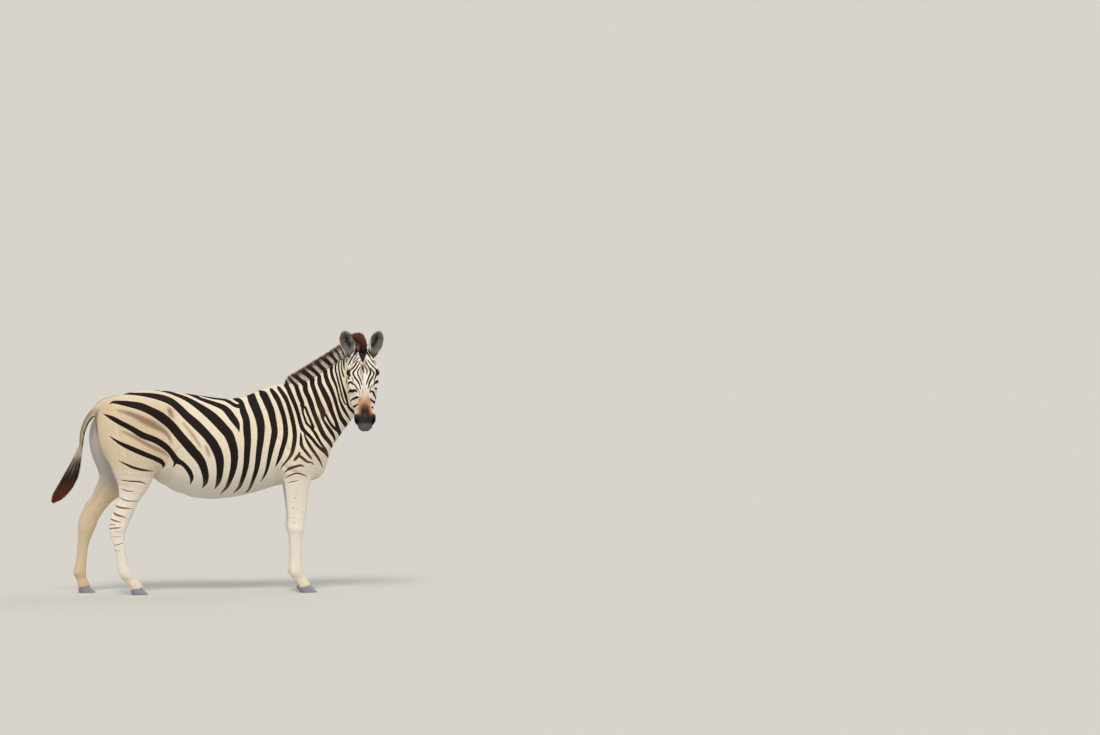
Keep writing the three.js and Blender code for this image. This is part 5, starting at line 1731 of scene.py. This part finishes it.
COAT_PIECES = [  # each name with a test of places, on what the ones before it left
    ("coat_head", lambda p: (p[:, 1] < -120) & (p[:, 0] > 700)),
    ("coat_neck", lambda p: (p[:, 0] > 540) & (p[:, 2] > 900)),
    ("coat_shoulder", lambda p: (p[:, 0] > 250) & (p[:, 2] > 700)),
    ("coat_barrel", lambda p: (p[:, 0] > -120) & (p[:, 2] > 560)),
    ("coat_flank", lambda p: (p[:, 0] > -440) & (p[:, 2] > 700)),
    ("coat_haunch", lambda p: p[:, 2] > 700),
    ("coat_legs", lambda p: p[:, 2] > -1),
]


# ---- sizes and colours that a user may change
def colour_property(name, description, text):
    return FloatVectorProperty(name=name, description=description, default=from_hex(text),
                               subtype="COLOR_GAMMA", size=3, min=0, max=1)


class ZebraCoat(bpy.types.PropertyGroup):
    cell: FloatProperty(name="Skin cell", default=8.9, min=6, max=30,
                        description="Spacing of the skin's mesh on the body, in millimetres")
    tufts: IntProperty(name="Tufts", default=300000, min=1000, max=320000,
                       description="How many tufts the short coat has")
    tuft_length: FloatProperty(name="Tuft length", default=9.5, min=2, max=40,
                               description="Length of a tuft on the trunk, in millimetres")
    tuft_width: FloatProperty(name="Tuft width", default=1.8, min=0.5, max=8,
                              description="Width of a tuft on the trunk, in millimetres")
    seed: IntProperty(name="Seed", description="Seed of everything that is scattered", default=7)
    cream: colour_property("Cream", "Pale hair of the neck and back", "f2e6cd")
    white: colour_property("White", "Pale hair of the legs and belly", "efe9de")
    buff: colour_property("Buff", "Pale hair of the haunch", "dfcbaa")
    tan: colour_property("Tan", "Warm hair of the nose and tail root", "c69468")
    dark: colour_property("Dark", "Hair of the stripes", "1a0e0c")
    brown: colour_property("Brown", "Thin stripes of the thigh and shoulder", "6e4630")
    muzzle: colour_property("Muzzle", "Bare dark skin of the muzzle and lids", "251e1d")
    mane_tip: colour_property("Mane tip", "Reddish tips of the mane and forelock", "6e3520")
    ear_inside: colour_property("Ear inside", "Hair inside the ears", "7d7b77")


# ---- operators
def chance(coat, step):
    return np.random.default_rng(coat.seed * 100 + step)


class ZEBRA_OT_skin(bpy.types.Operator):
    """Makes the one skin over all the flesh, with its markings"""

    bl_idname = "zebra.skin"
    bl_label = "Skin"

    def execute(self, context):
        coat = context.scene.zebra_coat
        made = make_skin(coat.cell)
        mark_faces(made, coat)
        write_points(made, to_row(read_points(made)))
        made.shade_smooth()
        flesh_nodes = ["trunk", "neck", "head", "tail_dock"]
        for part in ("forearm", "fore_shank", "gaskin", "hind_shank"):
            flesh_nodes += [f"{part}_{side}" for side in OUT]
        place("skin", made, [coat_material("zebra skin", 0.72)], flesh_nodes)
        return {"FINISHED"}


class ZEBRA_OT_coat(bpy.types.Operator):
    """Stands the short coat's tufts on the skin"""

    bl_idname = "zebra.coat"
    bl_label = "Coat"

    def execute(self, context):
        coat = context.scene.zebra_coat
        skin = bpy.data.objects["skin"].data
        points = (read_points(skin) - SHIFT) * 1000
        normals = read_normals(skin)
        corners = face_corners(skin)
        a, b, c, _ = points[corners].transpose(1, 0, 2)
        area = lengths(np.cross(b - a, c - a)) / 2
        centre = points[corners].mean(1)
        left_over = np.ones(len(centre), bool)
        thick = (~bare_places(centre)) / hair_size(centre) ** 1.6
        each = coat.tufts / (thick * area).sum()
        hair = coat_material("zebra hair", 0.8)
        for step, (name, test) in enumerate(COAT_PIECES):
            here = left_over & test(centre)
            left_over &= ~here
            weight = here * thick
            count = min(MOST_TUFTS, int(each * (weight * area).sum()))
            rng = chance(coat, 30 + step)
            roots, out = scatter(rng, points, normals, corners, weight, count)
            keep = ~bare_places(roots)
            roots, out = roots[keep], out[keep]
            lie = hair_lie(roots, out)
            lie = unit(lie + np.cross(out, lie) * rng.normal(0, 0.16, (len(lie), 1)))
            lie = unit(lie + out * rng.uniform(0.06, 0.2, (len(lie), 1)))
            marks = marking_attributes(roots, out, coat)
            # smaller tufts at the edge between two tones, so that it stays crisp
            size = hair_size(roots) * (0.55 + 0.45 * ramp(np.abs(marks["half"]), 1, 7))
            made = stand_tufts(
                to_row(roots - out * 0.4), lie, out, size, Tuft=tuft_shape(), Length=coat.tuft_length * 0.001,
                Width=coat.tuft_width * 0.001, Uneven=0.3, Seed=coat.seed, Finish=hair)
            marks["other"] = np.full(len(roots), PLAIN)
            for key, values in marks.items():
                write_attribute(made, key, np.repeat(values, len(TUFT_CORNERS), axis=0))
            write_bake_map(made, bake_places(roots, out), TUFT_SPOTS)
            place(name, made, [] if made.materials else [hair])
        bpy.data.objects.remove(bpy.data.objects["tuft"])
        return {"FINISHED"}


class ZEBRA_OT_eyes(bpy.types.Operator):
    """Makes the eyeballs"""

    bl_idname = "zebra.eyes"
    bl_label = "Eyes"

    def execute(self, context):
        eye = eye_material()
        for side, out in OUT.items():
            bm = bmesh.new()
            bmesh.ops.create_uvsphere(bm, u_segments=48, v_segments=32, radius=(EYE_RADIUS - 0.1) * 0.001)
            made = bpy.data.meshes.new(f"eyeball_{side}")
            bm.to_mesh(made)
            bm.free()
            towards = read_points(made) @ HEAD * 1000 * np.array([out, 1, 1])
            write_attribute(made, "along", towards @ EYE_ALONG)
            write_attribute(made, "above", towards @ EYE_UPPER)
            write_points(made, read_points(made) + to_row(on_head(EYE_AT * [out, 1, 1])))
            made.shade_smooth()
            place(f"eyeball_{side}", made, [eye], [f"eye_{side}"])
        return {"FINISHED"}


class ZEBRA_OT_hooves(bpy.types.Operator):
    """Makes the four hooves"""

    bl_idname = "zebra.hooves"
    bl_label = "Hooves"

    def execute(self, context):
        horn = horn_material()
        for end in TRACK:
            for side in OUT:
                place(f"hoof_wall_{end}_{side}", hoof_mesh(end, side), [horn], [f"hoof_{end}_{side}"])
        return {"FINISHED"}


class ZEBRA_OT_ears(bpy.types.Operator):
    """Makes the ears"""

    bl_idname = "zebra.ears"
    bl_label = "Ears"

    def execute(self, context):
        coat = context.scene.zebra_coat
        hair = hair_material("ear hair", 0.8)
        for side in OUT:
            place(f"ear_shell_{side}", ear_mesh(side, coat), [hair], [f"ear_{side}"])
            long_hair_piece(f"ear_hair_{side}", *ear_hair(chance(coat, 40), side, coat), "ear", hair)
        return {"FINISHED"}


class ZEBRA_OT_mane(bpy.types.Operator):
    """Makes the mane and the forelock, lock by lock"""

    bl_idname = "zebra.mane"
    bl_label = "Mane and forelock"

    def execute(self, context):
        coat = context.scene.zebra_coat
        hair = hair_material("mane hair", 0.65)
        paths, widths, s = mane_locks(chance(coat, 10), 4300)
        colours = mane_colours(paths.reshape(-1, 3), np.tile(s, len(paths)), coat)
        long_hair_piece("mane_hair", paths, widths, colours, "mane", hair, ["mane"])
        count = 1100
        paths, widths, s = forelock_locks(chance(coat, 11), count)
        standing = np.repeat(np.arange(len(paths)) < count, len(s))
        colours = forelock_colours(paths.reshape(-1, 3), standing, coat)
        long_hair_piece("forelock_hair", paths, widths, colours, "mane", hair, ["forelock"])
        return {"FINISHED"}


class ZEBRA_OT_tail(bpy.types.Operator):
    """Makes the long hair of the tail"""

    bl_idname = "zebra.tail"
    bl_label = "Tail hair"

    def execute(self, context):
        coat = context.scene.zebra_coat
        paths, widths, s = tail_locks(chance(coat, 20), 900)
        height = paths[..., 2].ravel()
        dark, brown, cream, buff = tones(coat, "dark", "mane_tip", "cream", "buff")
        kind = np.repeat(chance(coat, 21).random(len(paths)), len(s))
        tone = mix(dark, brown * 1.25, (1 - ramp(height - 90 * kind, 560, 690)) * 0.85)
        tone = mix(tone, buff * 0.8, (kind < 0.3) * ramp(height + 220 * kind, 720, 860) * 0.85)
        tone = mix(tone, cream * 0.8, ramp(height, 800, 880) * 0.8)
        hair = hair_material("tail hair", 0.6)
        long_hair_piece("tail_hair", paths, widths, tone, "tail_hair", hair, ["tail_tuft"], sides=4)
        return {"FINISHED"}


FLOOR_HALF = 150  # metres
LAMPS = [  # name, the way it shines, power, how wide its disc is in degrees, colour
    ("key lamp", (0.15, 0.62, -0.77), 1.75, 20, "fff6ea"),
    ("fill lamp", (-0.7, -0.45, -0.55), 0.55, 40, "fffaf2"),
]


def aim(name, data, towards):
    """Puts a lamp or a camera into the scene, looking a given way."""
    made = bpy.data.objects.new(name, data)
    bpy.context.scene.collection.objects.link(made)
    made.rotation_euler = Vector(towards).to_track_quat("-Z", "Y").to_euler()
    return made


class ZEBRA_OT_stage(bpy.types.Operator):
    """Makes the floor, the lamps, the world and the camera"""

    bl_idname = "zebra.stage"
    bl_label = "Stage"

    def execute(self, context):
        scene = context.scene
        corners = [(x * FLOOR_HALF, y * FLOOR_HALF, 0) for x, y in ((-1, -1), (1, -1), (1, 1), (-1, 1))]
        floor = new_mesh("floor", corners, [(0, 1, 2, 3)])
        # A plain matt floor, pale as dry ground.
        floor.materials.append(material("plain pale floor", 0.9, **{"Base Color": rgba("cfcdc8")})[0])
        ground = bpy.data.objects.new("floor", floor)
        scene.collection.objects.link(ground)
        world = bpy.data.worlds.new("soft studio light")
        world.use_nodes = True
        tree = world.node_tree
        tree.nodes.clear()
        sky = add_node(tree, "ShaderNodeBackground", {"Color": rgba("f4f6f8"), "Strength": 0.62})
        backdrop = add_node(tree, "ShaderNodeBackground", {"Color": rgba("d8d4cc"), "Strength": 1.0})
        seen = add_node(tree, "ShaderNodeLightPath").outputs["Is Camera Ray"]
        both = add_node(tree, "ShaderNodeMixShader", {0: seen, 1: sky.outputs[0], 2: backdrop.outputs[0]})
        add_node(tree, "ShaderNodeOutputWorld", {"Surface": both.outputs[0]})
        scene.world = world
        for name, towards, power, wide, tint in LAMPS:
            lamp = bpy.data.lights.new(name, "SUN")
            lamp.energy, lamp.angle, lamp.color = power, math.radians(wide), linear(tint)
            aim(name, lamp, towards)
        scene.view_settings.view_transform = "Standard"
        place_camera(scene)
        return {"FINISHED"}


CAMERA_LENS = 104.7
CAMERA_ASIDE = math.atan(0.10359375)  # how far it is turned ahead of the middle of the animal


def place_camera(scene):
    """The camera stands off to the animal's right, a little behind square, level with its eyes."""
    away = np.array([math.sin(VIEW_TURN), math.cos(VIEW_TURN), 0])
    right = np.array([math.cos(VIEW_TURN), -math.sin(VIEW_TURN), 0])
    camera = bpy.data.cameras.new("camera")
    camera.sensor_width, camera.lens, camera.clip_end = 36, CAMERA_LENS, 200
    scene.camera = aim("camera", camera, math.cos(CAMERA_ASIDE) * away + math.sin(CAMERA_ASIDE) * right)
    scene.camera.location = to_row([0, 0, VIEW_HEIGHT] - away * VIEW_AWAY)


class ZEBRA_PT_panel(bpy.types.Panel):
    bl_idname = "ZEBRA_PT_panel"
    bl_label = "Zebra"
    bl_space_type = "VIEW_3D"
    bl_region_type = "UI"
    bl_category = "Zebra"

    def draw(self, context):
        for step in STEPS:
            self.layout.operator(step.bl_idname)
        for name in ZebraCoat.__annotations__:
            self.layout.prop(context.scene.zebra_coat, name)


STEPS = (ZEBRA_OT_stage, ZEBRA_OT_skin, ZEBRA_OT_coat, ZEBRA_OT_eyes, ZEBRA_OT_hooves, ZEBRA_OT_ears,
         ZEBRA_OT_mane, ZEBRA_OT_tail)
CLASSES = (ZebraCoat, *STEPS, ZEBRA_PT_panel)


def register():
    for one in CLASSES:
        bpy.utils.register_class(one)
    bpy.types.Scene.zebra_coat = PointerProperty(type=ZebraCoat)


def unregister():
    del bpy.types.Scene.zebra_coat
    for one in reversed(CLASSES):
        bpy.utils.unregister_class(one)


def main():
    register()
    for step in STEPS:
        category, name = step.bl_idname.split(".")
        getattr(getattr(bpy.ops, category), name)()


if __name__ == "__main__":
    main()
